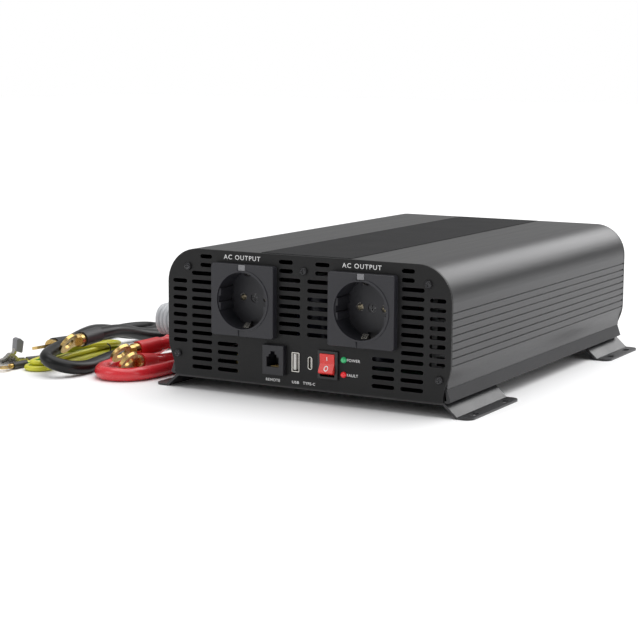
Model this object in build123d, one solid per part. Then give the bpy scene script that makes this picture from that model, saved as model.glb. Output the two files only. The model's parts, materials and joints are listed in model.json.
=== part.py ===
from build123d import *
import math
import os

# Power inverter: a ribbed aluminium cover over a steel base tray, with mains sockets on the
# front panel, and fans, battery terminals and their leads at the back.
# Millimetres. +X is right along the front panel, +Y runs back into the depth, +Z is up.
# The origin is under the middle of the case, on the surface that its feet stand on.

# ---- driving dimensions ----
WIDTH = 221.0              # case, across the sides
DEPTH = 330.0              # case, front panel face to rear panel face
TOP_Z = 100.5              # top of the cover
UNDER_Z = 10.0             # underside of the base tray, which the feet hold off the ground
FRONT_PROUD = 5.5          # socket faces in front of the front panel
RIM_PROUD = 0.5            # rim of each recess in front of its socket face
REAR_PROUD = 26.0          # terminal studs behind the rear panel
CORNER_R = 24.5            # outer radius along the cover's two top edges
WALL = 2.0                 # cover wall
PANEL_T = 2.0              # front and rear panels
SHEET_T = 1.5              # base tray and feet brackets

FRONT_Y = -(DEPTH + REAR_PROUD - FRONT_PROUD - RIM_PROUD) / 2     # front panel face
REAR_Y = FRONT_Y + DEPTH                                          # rear panel face
INNER_FRONT = FRONT_Y + PANEL_T
INNER_REAR = REAR_Y - PANEL_T

WAIST_X = 107.3            # half width at the waist above the base tray
WAIST_Z = 19.5
SHOULDER_Z = 37.0          # the sides are upright above this height
PANEL_FOOT_X = 105.0       # half width of the panels at their lower edge

SLOT_H = 3.0               # ventilation slots
SLOT_PITCH = 6.05
SLOT_TOP_Z = 77.3          # row 0, the highest row of the outer columns

SOCKET_X = 46.2            # sockets, left and right of the centre
SOCKET_Z = 67.2
SOCKET_SIZE = 50.0
RECESS_R = 19.75
RECESS_DEPTH = 17.5

SWITCH_X, SWITCH_Z = 19.6, 27.8
ROCKER_SWING = 11.0        # half of the rocker's travel, in degrees

FAN_X = (24.0, 82.0)
FAN_Z = 58.0
FAN_SIZE = 50.0
FAN_DEPTH = 20.0
ROTOR_R = 22.0
HUB_R = 10.0
BLADES = 7

STUD_R = 4.0               # battery terminals, M8
STUD_Z = 70.0
RED_STUDS_X = (-96.0, -74.0)
BLACK_STUDS_X = (-44.0, -22.0)
LUG_Y = REAR_Y + 14.5      # mid-plane of the ring lugs on the studs

CABLE_D = 10.0             # battery leads
EARTH_D = 4.0              # earth lead
SLEEVE_R = 5.9
SLEEVE_L = 21.0            # heat-shrink sleeve on each end of a battery lead
SLEEVE_BACK = 9.0          # how much of it covers the lug's barrel
LUG_HOLE_R = 4.2
LUG_RING_R = 8.5
LUG_T = 2.4
LUG_NECK = 12.0            # ring centre to the start of the barrel
LUG_BARREL_L = 14.0
LUG_END = LUG_NECK + LUG_BARREL_L    # ring centre to the barrel's mouth, where the cable starts

os.makedirs("parts", exist_ok=True)


# ---- helpers ----
def block(x0, x1, y0, y1, z0, z1):
    """A box between two limits along each axis, given in either order."""
    middle = Pos((x0 + x1) / 2, (y0 + y1) / 2, (z0 + z1) / 2)
    return middle * Box(abs(x1 - x0), abs(y1 - y0), abs(z1 - z0))


def rod_y(x, z, y0, y1, radius):
    """A cylinder along Y."""
    return Pos(x, (y0 + y1) / 2, z) * Rot(90, 0, 0) * Cylinder(radius, abs(y1 - y0))


def rod_x(y, z, x0, x1, radius):
    """A cylinder along X."""
    return Pos((x0 + x1) / 2, y, z) * Rot(0, 90, 0) * Cylinder(radius, x1 - x0)


def rod_z(x, y, z0, z1, radius):
    """A cylinder along Z."""
    return Pos(x, y, (z0 + z1) / 2) * Cylinder(radius, z1 - z0)


def along_y(face_xz, y0, y1):
    """A sketch drawn with X across and Y up, stood upright and drawn out from y0 to y1."""
    solid = extrude(face_xz, y1 - y0)
    return Pos(0, y1, 0) * Rot(90, 0, 0) * solid


def rounded_bar(x, z, width, height, y0, y1):
    """A round-ended bar along X, drawn out along Y."""
    return Pos(0, y1, 0) * Rot(90, 0, 0) * extrude(Pos(x, z) * SlotOverall(width, height), y1 - y0)


def upright_bar(x, z, width, height, y0, y1):
    """A round-ended bar with its length upright."""
    return Pos(x, 0, z) * Rot(0, 90, 0) * rounded_bar(0, 0, height, width, y0, y1)


def save(name, *solids):
    """Write one node; several solids go in as a group."""
    flat = []
    for item in solids:
        flat += list(item.solids())
    shape = flat[0] if len(flat) == 1 else Compound(children=flat)
    export_step(shape, f"parts/{name}.step")


def frame_at(origin, x_dir, z_dir):
    """The location that puts a piece's own origin and axes in the case's frame."""
    return Plane(origin=origin, x_dir=x_dir, z_dir=z_dir).location


def cable(points, diameter, name):
    """Straight runs joined by tangent arcs, each as large as its two runs allow."""
    pts = [Vector(*p) for p in points]
    radii = []
    for before, corner, after in zip(pts, pts[1:], pts[2:]):
        half_turn = math.radians((corner - before).get_angle(after - corner)) / 2
        shorter = min((corner - before).length, (after - corner).length)
        radii.append(0.45 * shorter / math.tan(half_turn))
    path = FilletPolyline(*pts, radius=radii)
    start = Plane(origin=path @ 0, z_dir=path % 0)
    tube = sweep(start * Circle(diameter / 2), path=path)
    section = math.pi * diameter ** 2 / 4
    print(name, "length", round(path.length, 1), "tightest", round(min(radii), 1),
          "volume ratio", round(tube.volume / (section * path.length), 4))
    return tube


def machine_screw(x, y, z, head_r, head_h, shank_r, shank_l, facing):
    """A cross-head screw whose head stands at y, facing -1 to the front or +1 to the back."""
    head = rod_y(x, z, y, y + facing * head_h, head_r)
    rims = head.edges().filter_by(GeomType.CIRCLE).sort_by(Axis.Y)
    head = fillet(rims[-1 if facing > 0 else 0], head_h * 0.6)
    shank = rod_y(x, z, y, y - facing * shank_l, shank_r)
    face_y = y + facing * head_h
    cross = block(x - head_r * 0.6, x + head_r * 0.6, face_y - 0.9, face_y + 0.9, z - 0.4, z + 0.4)
    cross += block(x - 0.4, x + 0.4, face_y - 0.9, face_y + 0.9, z - head_r * 0.6, z + head_r * 0.6)
    return head + shank - cross


# ---- cover: an aluminium extrusion, open below, with a ribbed top and grooved sides ----
HALF = WIDTH / 2
COVER_Y0, COVER_Y1 = FRONT_Y + PANEL_T, REAR_Y - PANEL_T


def cover_outline(inset):
    """One side of the cover from its lower edge to the middle of the top, mirrored."""
    x = HALF - inset
    waist = WAIST_X - inset
    radius = CORNER_R - inset
    top = TOP_Z - inset
    right = [
        Line((0, top), (x - radius, top)),
        RadiusArc((x - radius, top), (x, top - radius), radius),
        Line((x, top - radius), (x, SHOULDER_Z)),
        Bezier((x, SHOULDER_Z), (x, SHOULDER_Z - 8), (waist, WAIST_Z + 9), (waist, WAIST_Z)),
    ]
    left = [mirror(edge, Plane.YZ) for edge in right]
    return right, left, waist


outer_right, outer_left, outer_waist = cover_outline(0)
inner_right, inner_left, inner_waist = cover_outline(WALL)
lips = [Line((side * outer_waist, WAIST_Z), (side * inner_waist, WAIST_Z)) for side in (1, -1)]
cover_face = make_face(Curve() + outer_right + outer_left + inner_right + inner_left + lips)
cover = along_y(cover_face, COVER_Y0, COVER_Y1)

GROOVES = 8
GROOVE_PITCH = 4.98
GROOVE_TOP_Z = 69.8
for index in range(GROOVES):
    groove_z = GROOVE_TOP_Z - index * GROOVE_PITCH
    for side in (1, -1):
        edge_x = side * HALF
        cover -= block(edge_x - 0.8, edge_x + 0.8, COVER_Y0 - 1, COVER_Y1 + 1,
                       groove_z - 0.55, groove_z + 0.55)

# bosses along the inside take the panels' screws: two low on the sides, two in the corners, one at the top
SCREW_SPOTS = ((-93.5, 87.7), (93.5, 87.7), (0.0, 90.2), (-102.3, 25.3), (102.3, 25.3))
SCREW_SHANK_R = 1.4
BOSS_R = 3.2
WEB_T = 2.4
for x, z in SCREW_SPOTS:
    boss = Pos(x, z) * Circle(BOSS_R)
    if x == 0:
        boss += Pos(0, (z + TOP_Z - 1) / 2) * Rectangle(WEB_T, TOP_Z - 1 - z)
    elif z > SHOULDER_Z:
        corner_x = math.copysign(HALF - CORNER_R, x)
        outward = Vector(x - corner_x, z - (TOP_Z - CORNER_R))
        web_l = CORNER_R - 1 - outward.length
        lean = math.degrees(math.atan2(outward.Y, outward.X))
        middle = Vector(x, z) + outward.normalized() * (web_l / 2)
        boss += Pos(middle.X, middle.Y) * Rot(0, 0, lean) * Rectangle(web_l, WEB_T)
    else:
        boss += Pos(math.copysign(abs(x) + 2.2, x), z) * Rectangle(4.4, WEB_T)
    boss -= Pos(x, z) * Circle(SCREW_SHANK_R)
    cover += along_y(boss, COVER_Y0, COVER_Y1)

LABEL_HALF = 35.0
RIB_PITCH = 3.2
RIBS = 16
RIB_DEPTH = 0.9
rib_cuts = []
for side in (1, -1):
    for index in range(RIBS):
        rib_x = side * (LABEL_HALF + 1.6 + index * RIB_PITCH)
        notch = Polygon((rib_x - 0.9, TOP_Z + 0.1), (rib_x + 0.9, TOP_Z + 0.1),
                        (rib_x, TOP_Z - RIB_DEPTH), align=None)
        rib_cuts.append(along_y(notch, COVER_Y0 - 1, COVER_Y1 + 1))
cover -= rib_cuts
save("top_cover", cover)

LABEL_T = 0.3
save("top_label", block(-LABEL_HALF, LABEL_HALF, COVER_Y0 + 0.5, COVER_Y1 - 0.5, TOP_Z, TOP_Z + LABEL_T))

# ---- feet positions and the screws that hold them to the tray ----
FRONT_FOOT = (FRONT_Y + 2.0, FRONT_Y + 84.0)
REAR_FOOT = (FRONT_Y + 262.0, FRONT_Y + 330.0)
BASE_SCREW_R = 1.5
base_spots = []
for foot_y0, foot_y1 in (FRONT_FOOT, REAR_FOOT):
    for x in (-92.0, 92.0):
        base_spots.append((x, (foot_y0 + foot_y1) / 2))
base_holes = [rod_z(x, y, 0, UNDER_Z + 4, BASE_SCREW_R) for x, y in base_spots]

# ---- base tray: folded sheet steel with flared side lips ----
tray_right = Polyline(
    (0, UNDER_Z), (HALF - 2.2, UNDER_Z), (HALF - 0.6, UNDER_Z + 1.0), (WAIST_X - 0.2, WAIST_Z - 0.3),
    (WAIST_X - 1.9, WAIST_Z - 0.3), (HALF - 3.6, UNDER_Z + SHEET_T), (0, UNDER_Z + SHEET_T))
tray_face = make_face(Curve() + [tray_right, mirror(tray_right, Plane.YZ)])
save("base_tray", along_y(tray_face, COVER_Y0, COVER_Y1) - base_holes)


# ---- front and rear panels ----
def panel_face():
    """The end panels' outline: rounded top corners, sides drawn in towards the bottom."""
    x = HALF
    right = [
        Line((0, TOP_Z), (x - CORNER_R, TOP_Z)),
        RadiusArc((x - CORNER_R, TOP_Z), (x, TOP_Z - CORNER_R), CORNER_R),
        Line((x, TOP_Z - CORNER_R), (x, SHOULDER_Z)),
        Bezier((x, SHOULDER_Z), (x, SHOULDER_Z - 12), (PANEL_FOOT_X, UNDER_Z + 14), (PANEL_FOOT_X, UNDER_Z)),
        Line((PANEL_FOOT_X, UNDER_Z), (0, UNDER_Z)),
    ]
    return make_face(Curve() + right + [mirror(edge, Plane.YZ) for edge in right])


def slot_row(x0, x1, row):
    """One ventilation slot of a front panel column, numbered down from row 0."""
    z = SLOT_TOP_Z - row * SLOT_PITCH
    return rounded_bar((x0 + x1) / 2, z, abs(x1 - x0), SLOT_H, FRONT_Y - 1, INNER_FRONT + 1)


front = along_y(panel_face(), FRONT_Y, INNER_FRONT)
front_cuts = []
SLOT_COLUMNS = (
    (94.6, 106.4, 0, 7),      # outermost column
    (73.8, 90.7, -1, 10),     # column beside the socket
    (52.4, 69.4, 7, 10),      # under the socket
    (2.6, 19.8, -1, 5),       # between the sockets
    (73.8, 83.5, -3, -2),     # short slots inside the corner screws
    (8.6, 19.8, -3, -2),      # short slots beside the centre screw
)
for side in (1, -1):
    for near, far, first, last in SLOT_COLUMNS:
        for row in range(first, last + 1):
            front_cuts.append(slot_row(side * near, side * far, row))
for side in (1, -1):
    front_cuts.append(rod_y(side * SOCKET_X, SOCKET_Z, FRONT_Y - 1, INNER_FRONT + 1, RECESS_R + 2.6))

JACK_X, JACK_Z, JACK_W, JACK_H = -22.1, 27.9, 16.8, 20.6
USB_A_X, USB_A_Z, USB_A_W, USB_A_H = -5.9, 27.4, 6.0, 13.4
USB_C_X, USB_C_Z, USB_C_W, USB_C_H = 5.4, 27.7, 3.4, 8.9
SWITCH_HOLE_W, SWITCH_HOLE_H = 12.8, 17.0
LED_X = 31.3
LED_ZS = (32.3, 22.2)
LED_R = 2.1
front_cuts += [
    block(JACK_X - 7.0, JACK_X + 7.0, FRONT_Y - 1, INNER_FRONT + 1, JACK_Z - 8.8, JACK_Z + 8.8),
    block(USB_A_X - USB_A_W / 2 - 0.1, USB_A_X + USB_A_W / 2 + 0.1, FRONT_Y - 1, INNER_FRONT + 1,
          USB_A_Z - USB_A_H / 2 - 0.1, USB_A_Z + USB_A_H / 2 + 0.1),
    upright_bar(USB_C_X, USB_C_Z, USB_C_W + 0.2, USB_C_H + 0.2, FRONT_Y - 1, INNER_FRONT + 1),
    block(SWITCH_X - SWITCH_HOLE_W / 2, SWITCH_X + SWITCH_HOLE_W / 2, FRONT_Y - 1, INNER_FRONT + 1,
          SWITCH_Z - SWITCH_HOLE_H / 2, SWITCH_Z + SWITCH_HOLE_H / 2),
]
front_cuts += [rod_y(LED_X, z, FRONT_Y - 1, INNER_FRONT + 1, LED_R + 0.05) for z in LED_ZS]

front_cuts += [rod_y(x, z, FRONT_Y - 1, INNER_FRONT + 1, SCREW_SHANK_R + 0.05) for x, z in SCREW_SPOTS]
front -= front_cuts
save("front_panel", front)

FAN_HOLE_PITCH = 40.0
FAN_HOLE_R = 1.75


def fan_corners(fan_x):
    """The four screw places of one fan, as X and Z."""
    reach = FAN_HOLE_PITCH / 2
    return [(fan_x + dx, FAN_Z + dz) for dx in (-reach, reach) for dz in (-reach, reach)]


rear = along_y(panel_face(), INNER_REAR, REAR_Y)
rear_cuts = []
for fan_x in FAN_X:
    rear_cuts.append(rod_y(fan_x, FAN_Z, INNER_REAR - 1, REAR_Y + 1, ROTOR_R + 1.5))
    for x, z in fan_corners(fan_x):
        rear_cuts.append(rod_y(x, z, INNER_REAR - 1, REAR_Y + 1, FAN_HOLE_R))
rear_cuts += [rod_y(x, z, INNER_REAR - 1, REAR_Y + 1, SCREW_SHANK_R + 0.05) for x, z in SCREW_SPOTS]
BLOCK_BOSS_R = 7.0
for stud_x in RED_STUDS_X + BLACK_STUDS_X:
    rear_cuts.append(rod_y(stud_x, STUD_Z, INNER_REAR - 1, REAR_Y + 1, BLOCK_BOSS_R + 0.1))
EARTH_STUD_X, EARTH_STUD_Z = 2.0, 26.0
rear_cuts.append(rod_y(EARTH_STUD_X, EARTH_STUD_Z, INNER_REAR - 1, REAR_Y + 1, 2.55))
rear -= rear_cuts
save("rear_panel", rear)

screws = [machine_screw(x, FRONT_Y, z, 2.7, 1.9, SCREW_SHANK_R, 8.0, -1) for x, z in SCREW_SPOTS]
screws += [machine_screw(x, REAR_Y, z, 2.7, 1.9, SCREW_SHANK_R, 8.0, 1) for x, z in SCREW_SPOTS]
save("panel_screws", *screws)

# ---- feet: a full-width strip under each end, folded down and out into two flanges ----
FOOT_TOP_X = 104.0         # the legs leave the underside here
FOOT_KNEE_X = 113.5
FOOT_TIP_X = 124.5
SLOT_HOLE_W, SLOT_HOLE_L = 4.5, 9.0
FOOT_HOLE_X = 119.6


def foot_bracket(y0, y1):
    """Folded strip: flat under the tray, slanting legs, flat flanges with two slotted holes each."""
    t = SHEET_T
    outer = Polyline(
        (0, UNDER_Z - t), (FOOT_TOP_X, UNDER_Z - t), (FOOT_KNEE_X, 0), (FOOT_TIP_X, 0), (FOOT_TIP_X, t),
        (FOOT_KNEE_X + 0.8, t), (FOOT_TOP_X + 0.8, UNDER_Z), (0, UNDER_Z))
    face = make_face(Curve() + [outer, mirror(outer, Plane.YZ)])
    strip = along_y(face, y0, y1)
    corners = []
    for edge in strip.edges().filter_by(Axis.Z):
        if abs(edge.center().X) > FOOT_TIP_X - 0.1:
            corners.append(edge)
    strip = fillet(corners, 6.0)
    for side in (1, -1):
        for y in (y0 + 16.0, y1 - 16.0):
            hole = extrude(SlotOverall(SLOT_HOLE_L, SLOT_HOLE_W, rotation=90), 4)
            strip -= Pos(side * FOOT_HOLE_X, y, -1) * hole
    return strip - base_holes


save("front_bracket", foot_bracket(*FRONT_FOOT))
save("rear_bracket", foot_bracket(*REAR_FOOT))


def base_screw(x, y):
    """A pan head screw up through the bracket and the tray."""
    head_z = UNDER_Z - SHEET_T
    head = rod_z(x, y, head_z - 1.9, head_z, 3.0)
    cross = block(x - 1.8, x + 1.8, y - 0.4, y + 0.4, head_z - 2.5, head_z - 1.0)
    cross += block(x - 0.4, x + 0.4, y - 1.8, y + 1.8, head_z - 2.5, head_z - 1.0)
    return head + rod_z(x, y, head_z, UNDER_Z + 6.0, BASE_SCREW_R) - cross


save("base_screws", *[base_screw(x, y) for x, y in base_spots])

# ---- mains sockets: round recess with side guides, spring earth clips and a centre screw ----
SOCKET_BACK_Y = FRONT_Y + 22.0
SOCKET_FACE_Y = FRONT_Y - FRONT_PROUD
RECESS_FLOOR_Y = SOCKET_FACE_Y + RECESS_DEPTH
PIN_PITCH = 19.0
PIN_HOLE_R = 2.75


def socket_body(x):
    """One socket: square face plate, round cup behind it and the guides inside the recess."""
    half = SOCKET_SIZE / 2
    plate = block(x - half, x + half, SOCKET_FACE_Y, FRONT_Y, SOCKET_Z - half, SOCKET_Z + half)
    plate = fillet(plate.edges().filter_by(Axis.Y), 2.0)
    plate = fillet(plate.faces().sort_by(Axis.Y)[0].edges(), 0.8)
    rim = rod_y(x, SOCKET_Z, SOCKET_FACE_Y - RIM_PROUD, SOCKET_FACE_Y + 1, RECESS_R + 1.6)
    cup = rod_y(x, SOCKET_Z, FRONT_Y, SOCKET_BACK_Y, RECESS_R + 2.4)
    body = plate + rim + cup
    body -= rod_y(x, SOCKET_Z, SOCKET_FACE_Y - 2, RECESS_FLOOR_Y, RECESS_R)
    in_recess = rod_y(x, SOCKET_Z, SOCKET_FACE_Y, RECESS_FLOOR_Y + 1, RECESS_R + 1)
    for side in (1, -1):
        guide = block(x + side * 17.4, x + side * 22, SOCKET_FACE_Y + 0.6, RECESS_FLOOR_Y + 1,
                      SOCKET_Z - 7.5, SOCKET_Z + 7.5)
        guide -= block(x + side * 16, x + side * 18.9, SOCKET_FACE_Y, RECESS_FLOOR_Y + 2,
                       SOCKET_Z - 2.4, SOCKET_Z + 2.4)
        body += guide & in_recess
        pin_x = x + side * PIN_PITCH / 2
        body -= rod_y(pin_x, SOCKET_Z, RECESS_FLOOR_Y - 1, SOCKET_BACK_Y + 1, PIN_HOLE_R)
        # channel for the earth clip, and the shallow notch in the rim above or below it
        body -= block(x - 3.0, x + 3.0, RECESS_FLOOR_Y - 13, RECESS_FLOOR_Y + 2,
                      SOCKET_Z + side * 16.5, SOCKET_Z + side * 20.6)
        body -= block(x - 3.0, x + 3.0, SOCKET_FACE_Y - 1, SOCKET_FACE_Y + 0.7,
                      SOCKET_Z + side * 20.5, SOCKET_Z + side * 25.5)
    body -= rod_y(x, SOCKET_Z, RECESS_FLOOR_Y - 1, RECESS_FLOOR_Y + 3, 3.2)
    return body


def earth_clip(x, side):
    """A folded spring strip at the top (+1) or bottom (-1) of a recess."""
    wall_z = SOCKET_Z + side * 19.9
    floor = RECESS_FLOOR_Y
    strip = Polyline(
        (floor + 1.9, 0), (floor - 5.0, 0), (floor - 8.5, 3.6), (floor - 12.0, 0.6), (floor - 11.6, 0.2),
        (floor - 8.5, 2.9), (floor - 5.2, -0.5), (floor + 1.9, -0.5), close=True)
    solid = extrude(make_face(strip), 4.4)
    placed = frame_at((x - 2.2, 0, wall_z), (0, 1, 0), (1, 0, 0)) * solid
    if side > 0:
        placed = mirror(placed, Plane(origin=(0, 0, wall_z), z_dir=(0, 0, 1)))
    return placed


for name, x in (("socket_left_body", -SOCKET_X), ("socket_right_body", SOCKET_X)):
    save(name, socket_body(x))
clips = [earth_clip(side_x * SOCKET_X, side) for side_x in (-1, 1) for side in (-1, 1)]
save("socket_earth_clips", *clips)

contacts = []
for side_x in (-1, 1):
    for side in (-1, 1):
        pin_x = side_x * SOCKET_X + side * PIN_PITCH / 2
        sleeve = rod_y(pin_x, SOCKET_Z, RECESS_FLOOR_Y + 1.5, SOCKET_BACK_Y + 6, PIN_HOLE_R - 0.05)
        contacts.append(sleeve - rod_y(pin_x, SOCKET_Z, RECESS_FLOOR_Y + 1, SOCKET_BACK_Y + 4, 2.35))
save("socket_contacts", *contacts)
centre_screws = []
for side_x in (-1, 1):
    screw_x = side_x * SOCKET_X
    screw = rod_y(screw_x, SOCKET_Z, RECESS_FLOOR_Y + 0.6, RECESS_FLOOR_Y + 2.9, 3.1)
    for half_x, half_z in ((2.2, 0.4), (0.4, 2.2)):
        screw -= block(screw_x - half_x, screw_x + half_x, RECESS_FLOOR_Y, RECESS_FLOOR_Y + 1.4,
                       SOCKET_Z - half_z, SOCKET_Z + half_z)
    centre_screws.append(screw)
save("socket_screws", *centre_screws)

# ---- rocker switch ----
BEZEL_W, BEZEL_H, BEZEL_T = 15.5, 19.6, 1.8
ROCKER_W = 11.0
ROCKER_AXIS_Y = FRONT_Y + 3.2
ROCKER_PIN_R = 1.0
housing = block(SWITCH_X - BEZEL_W / 2, SWITCH_X + BEZEL_W / 2, FRONT_Y - BEZEL_T, FRONT_Y,
                SWITCH_Z - BEZEL_H / 2, SWITCH_Z + BEZEL_H / 2)
housing = fillet(housing.faces().sort_by(Axis.Y)[0].edges(), 0.7)
housing += block(SWITCH_X - 6.35, SWITCH_X + 6.35, FRONT_Y, FRONT_Y + 17, SWITCH_Z - 8.45, SWITCH_Z + 8.45)
housing -= block(SWITCH_X - 5.6, SWITCH_X + 5.6, FRONT_Y - 5, FRONT_Y + 12, SWITCH_Z - 8.0, SWITCH_Z + 8.0)
housing -= rod_x(ROCKER_AXIS_Y, SWITCH_Z, SWITCH_X - 6.2, SWITCH_X + 6.2, ROCKER_PIN_R + 0.05)
for dz in (-5.0, 0.0, 5.0):
    tab = block(SWITCH_X - 0.4, SWITCH_X + 0.4, FRONT_Y + 16, FRONT_Y + 24,
                SWITCH_Z + dz - 1.6, SWITCH_Z + dz + 1.6)
    housing += tab
save("switch_housing", housing)

# the rocker is a shallow V seen from the side, drawn at mid-travel and then tipped: its lower half stands out
rocker_side = Polyline(
    (-7.2, -6.6), (-5.6, 0), (-7.2, 6.6), (-1.0, 7.4), (2.5, 3.0), (2.5, -3.0), (-1.0, -7.4), close=True)
rocker_solid = extrude(make_face(rocker_side), ROCKER_W)
rocker = frame_at((-ROCKER_W / 2, 0, 0), (0, 1, 0), (1, 0, 0)) * rocker_solid
rocker = fillet(rocker.edges().filter_by(Axis.X).sort_by(Axis.Y)[0:2], 0.8)
rocker += rod_x(0, 0, -6.1, 6.1, ROCKER_PIN_R)
rocker = Pos(SWITCH_X, ROCKER_AXIS_Y, SWITCH_Z) * Rot(-ROCKER_SWING, 0, 0) * rocker
save("switch_rocker", rocker)

# ---- remote jack: six-way modular socket ----
JACK_FACE_Y = FRONT_Y - 4.0
jack = block(JACK_X - JACK_W / 2, JACK_X + JACK_W / 2, JACK_FACE_Y, FRONT_Y,
             JACK_Z - JACK_H / 2, JACK_Z + JACK_H / 2)
jack = fillet(jack.faces().sort_by(Axis.Y)[0].edges(), 0.6)
jack += block(JACK_X - 6.9, JACK_X + 6.9, FRONT_Y, FRONT_Y + 12, JACK_Z - 8.7, JACK_Z + 8.7)
JACK_OPEN_Z0, JACK_OPEN_Z1 = JACK_Z - 4.8, JACK_Z + 2.2
jack -= block(JACK_X - 4.9, JACK_X + 4.9, JACK_FACE_Y - 1, FRONT_Y + 9, JACK_OPEN_Z0, JACK_OPEN_Z1)
jack -= block(JACK_X - 3.2, JACK_X + 3.2, JACK_FACE_Y - 1, FRONT_Y + 9,
              JACK_OPEN_Z1 - 0.1, JACK_OPEN_Z1 + 1.9)
jack -= block(JACK_X - 1.7, JACK_X + 1.7, JACK_FACE_Y - 1, FRONT_Y + 9,
              JACK_OPEN_Z1 + 1.7, JACK_OPEN_Z1 + 4.0)
save("remote_jack", jack)
wires = []
for index in range(6):
    wire_x = JACK_X + (index - 2.5) * 1.02
    wires.append(block(wire_x - 0.2, wire_x + 0.2, JACK_FACE_Y + 3, FRONT_Y + 9,
                       JACK_OPEN_Z0, JACK_OPEN_Z0 + 0.6))
save("remote_contacts", *wires)

# ---- charging ports: stood upright ----
usb_a = block(USB_A_X - USB_A_W / 2, USB_A_X + USB_A_W / 2, FRONT_Y - 0.6, FRONT_Y + 13,
              USB_A_Z - USB_A_H / 2, USB_A_Z + USB_A_H / 2)
usb_a = fillet(usb_a.edges().filter_by(Axis.Y), 0.6)
usb_a -= block(USB_A_X - USB_A_W / 2 + 0.5, USB_A_X + USB_A_W / 2 - 0.5, FRONT_Y - 2, FRONT_Y + 12.4,
               USB_A_Z - USB_A_H / 2 + 0.5, USB_A_Z + USB_A_H / 2 - 0.5)
save("usb_a_shell", usb_a)



usb_c = upright_bar(USB_C_X, USB_C_Z, USB_C_W, USB_C_H, FRONT_Y - 0.4, FRONT_Y + 8)
usb_c -= upright_bar(USB_C_X, USB_C_Z, USB_C_W - 0.8, USB_C_H - 0.8, FRONT_Y - 2, FRONT_Y + 7.4)
save("usb_c_shell", usb_c)
usb_a_tongue = block(USB_A_X - 2.1, USB_A_X - 0.1, FRONT_Y + 0.4, FRONT_Y + 12.4,
                     USB_A_Z - 5.5, USB_A_Z + 5.5)
usb_c_tongue = block(USB_C_X - 0.35, USB_C_X + 0.35, FRONT_Y + 1.0, FRONT_Y + 7.4,
                     USB_C_Z - 3.2, USB_C_Z + 3.2)
save("usb_tongues", usb_a_tongue, usb_c_tongue)

# ---- indicator lamps ----
for name, z in (("led_green", LED_ZS[0]), ("led_red", LED_ZS[1])):
    lens = rod_y(LED_X, z, FRONT_Y - 0.2, FRONT_Y + 6, LED_R)
    lens += Pos(LED_X, FRONT_Y - 0.2, z) * Sphere(LED_R)
    save(name, lens)

# ---- inside: board, transformers, capacitors, heat sinks and transistors ----
BOARD_Z = UNDER_Z + SHEET_T + 6.0
BOARD_X = 88.0
BOARD_Y0, BOARD_Y1 = FRONT_Y + 34.0, REAR_Y - 34.0
standoff_spots = []
for x in (-78.0, 78.0):
    for y in (BOARD_Y0 + 8, (BOARD_Y0 + BOARD_Y1) / 2, BOARD_Y1 - 8):
        standoff_spots.append((x, y))
board = block(-BOARD_X, BOARD_X, BOARD_Y0, BOARD_Y1, BOARD_Z, BOARD_Z + 1.6)
for x, y in standoff_spots:
    board -= rod_z(x, y, BOARD_Z - 1, BOARD_Z + 3, 1.6)
save("main_board", board)
standoffs = []
for x, y in standoff_spots:
    standoffs.append(rod_z(x, y, UNDER_Z + SHEET_T, BOARD_Z, 3.0) + rod_z(x, y, BOARD_Z, BOARD_Z + 3, 1.55))
save("board_standoffs", *standoffs)

BOARD_TOP = BOARD_Z + 1.6
cores, windings = [], []
for y in (FRONT_Y + 105.0, FRONT_Y + 160.0, FRONT_Y + 215.0):
    core = block(-27, 27, y - 17, y + 17, BOARD_TOP, BOARD_TOP + 42)
    core -= block(-19, 19, y - 18, y + 18, BOARD_TOP + 7, BOARD_TOP + 35)
    core += rod_z(0, y, BOARD_TOP + 6, BOARD_TOP + 36, 8)
    cores.append(core)
    winding = rod_z(0, y, BOARD_TOP + 7.5, BOARD_TOP + 34.5, 17.5)
    windings.append(winding - rod_z(0, y, BOARD_TOP + 5, BOARD_TOP + 38, 8.4))
save("transformer_cores", *cores)
save("transformer_windings", *windings)

capacitors = []
for index in range(5):
    x = -44.0 + index * 22.0
    capacitors.append(rod_z(x, FRONT_Y + 264.0, BOARD_TOP, BOARD_TOP + 36, 9))
for x in (-24.0, 24.0):
    capacitors.append(rod_z(x, FRONT_Y + 62.0, BOARD_TOP, BOARD_TOP + 46, 15))
save("capacitors", *capacitors)

sinks, transistors = [], []
SINK_X = 68.0
SINK_Y0, SINK_Y1 = FRONT_Y + 60.0, FRONT_Y + 282.0
for side in (1, -1):
    wall_x = side * SINK_X
    sink = block(wall_x, wall_x + side * 4, SINK_Y0, SINK_Y1, BOARD_TOP, BOARD_TOP + 55)
    for index in range(7):
        fin_z = BOARD_TOP + 2 + index * 8.2
        sink += block(wall_x, wall_x + side * 16, SINK_Y0, SINK_Y1, fin_z, fin_z + 1.6)
    sinks.append(sink)
    for index in range(8):
        y = SINK_Y0 + 15 + index * 27.4
        inner = wall_x - side * 4.6
        body = block(inner, wall_x, y - 7.5, y + 7.5, BOARD_TOP + 14, BOARD_TOP + 34)
        for dy in (-5, 0, 5):
            leg_x = (inner + wall_x) / 2
            body += block(leg_x - 0.4, leg_x + 0.4, y + dy - 0.6, y + dy + 0.6, BOARD_TOP, BOARD_TOP + 15)
        transistors.append(body)
save("heat_sinks", *sinks)
save("transistors", *transistors)

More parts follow.
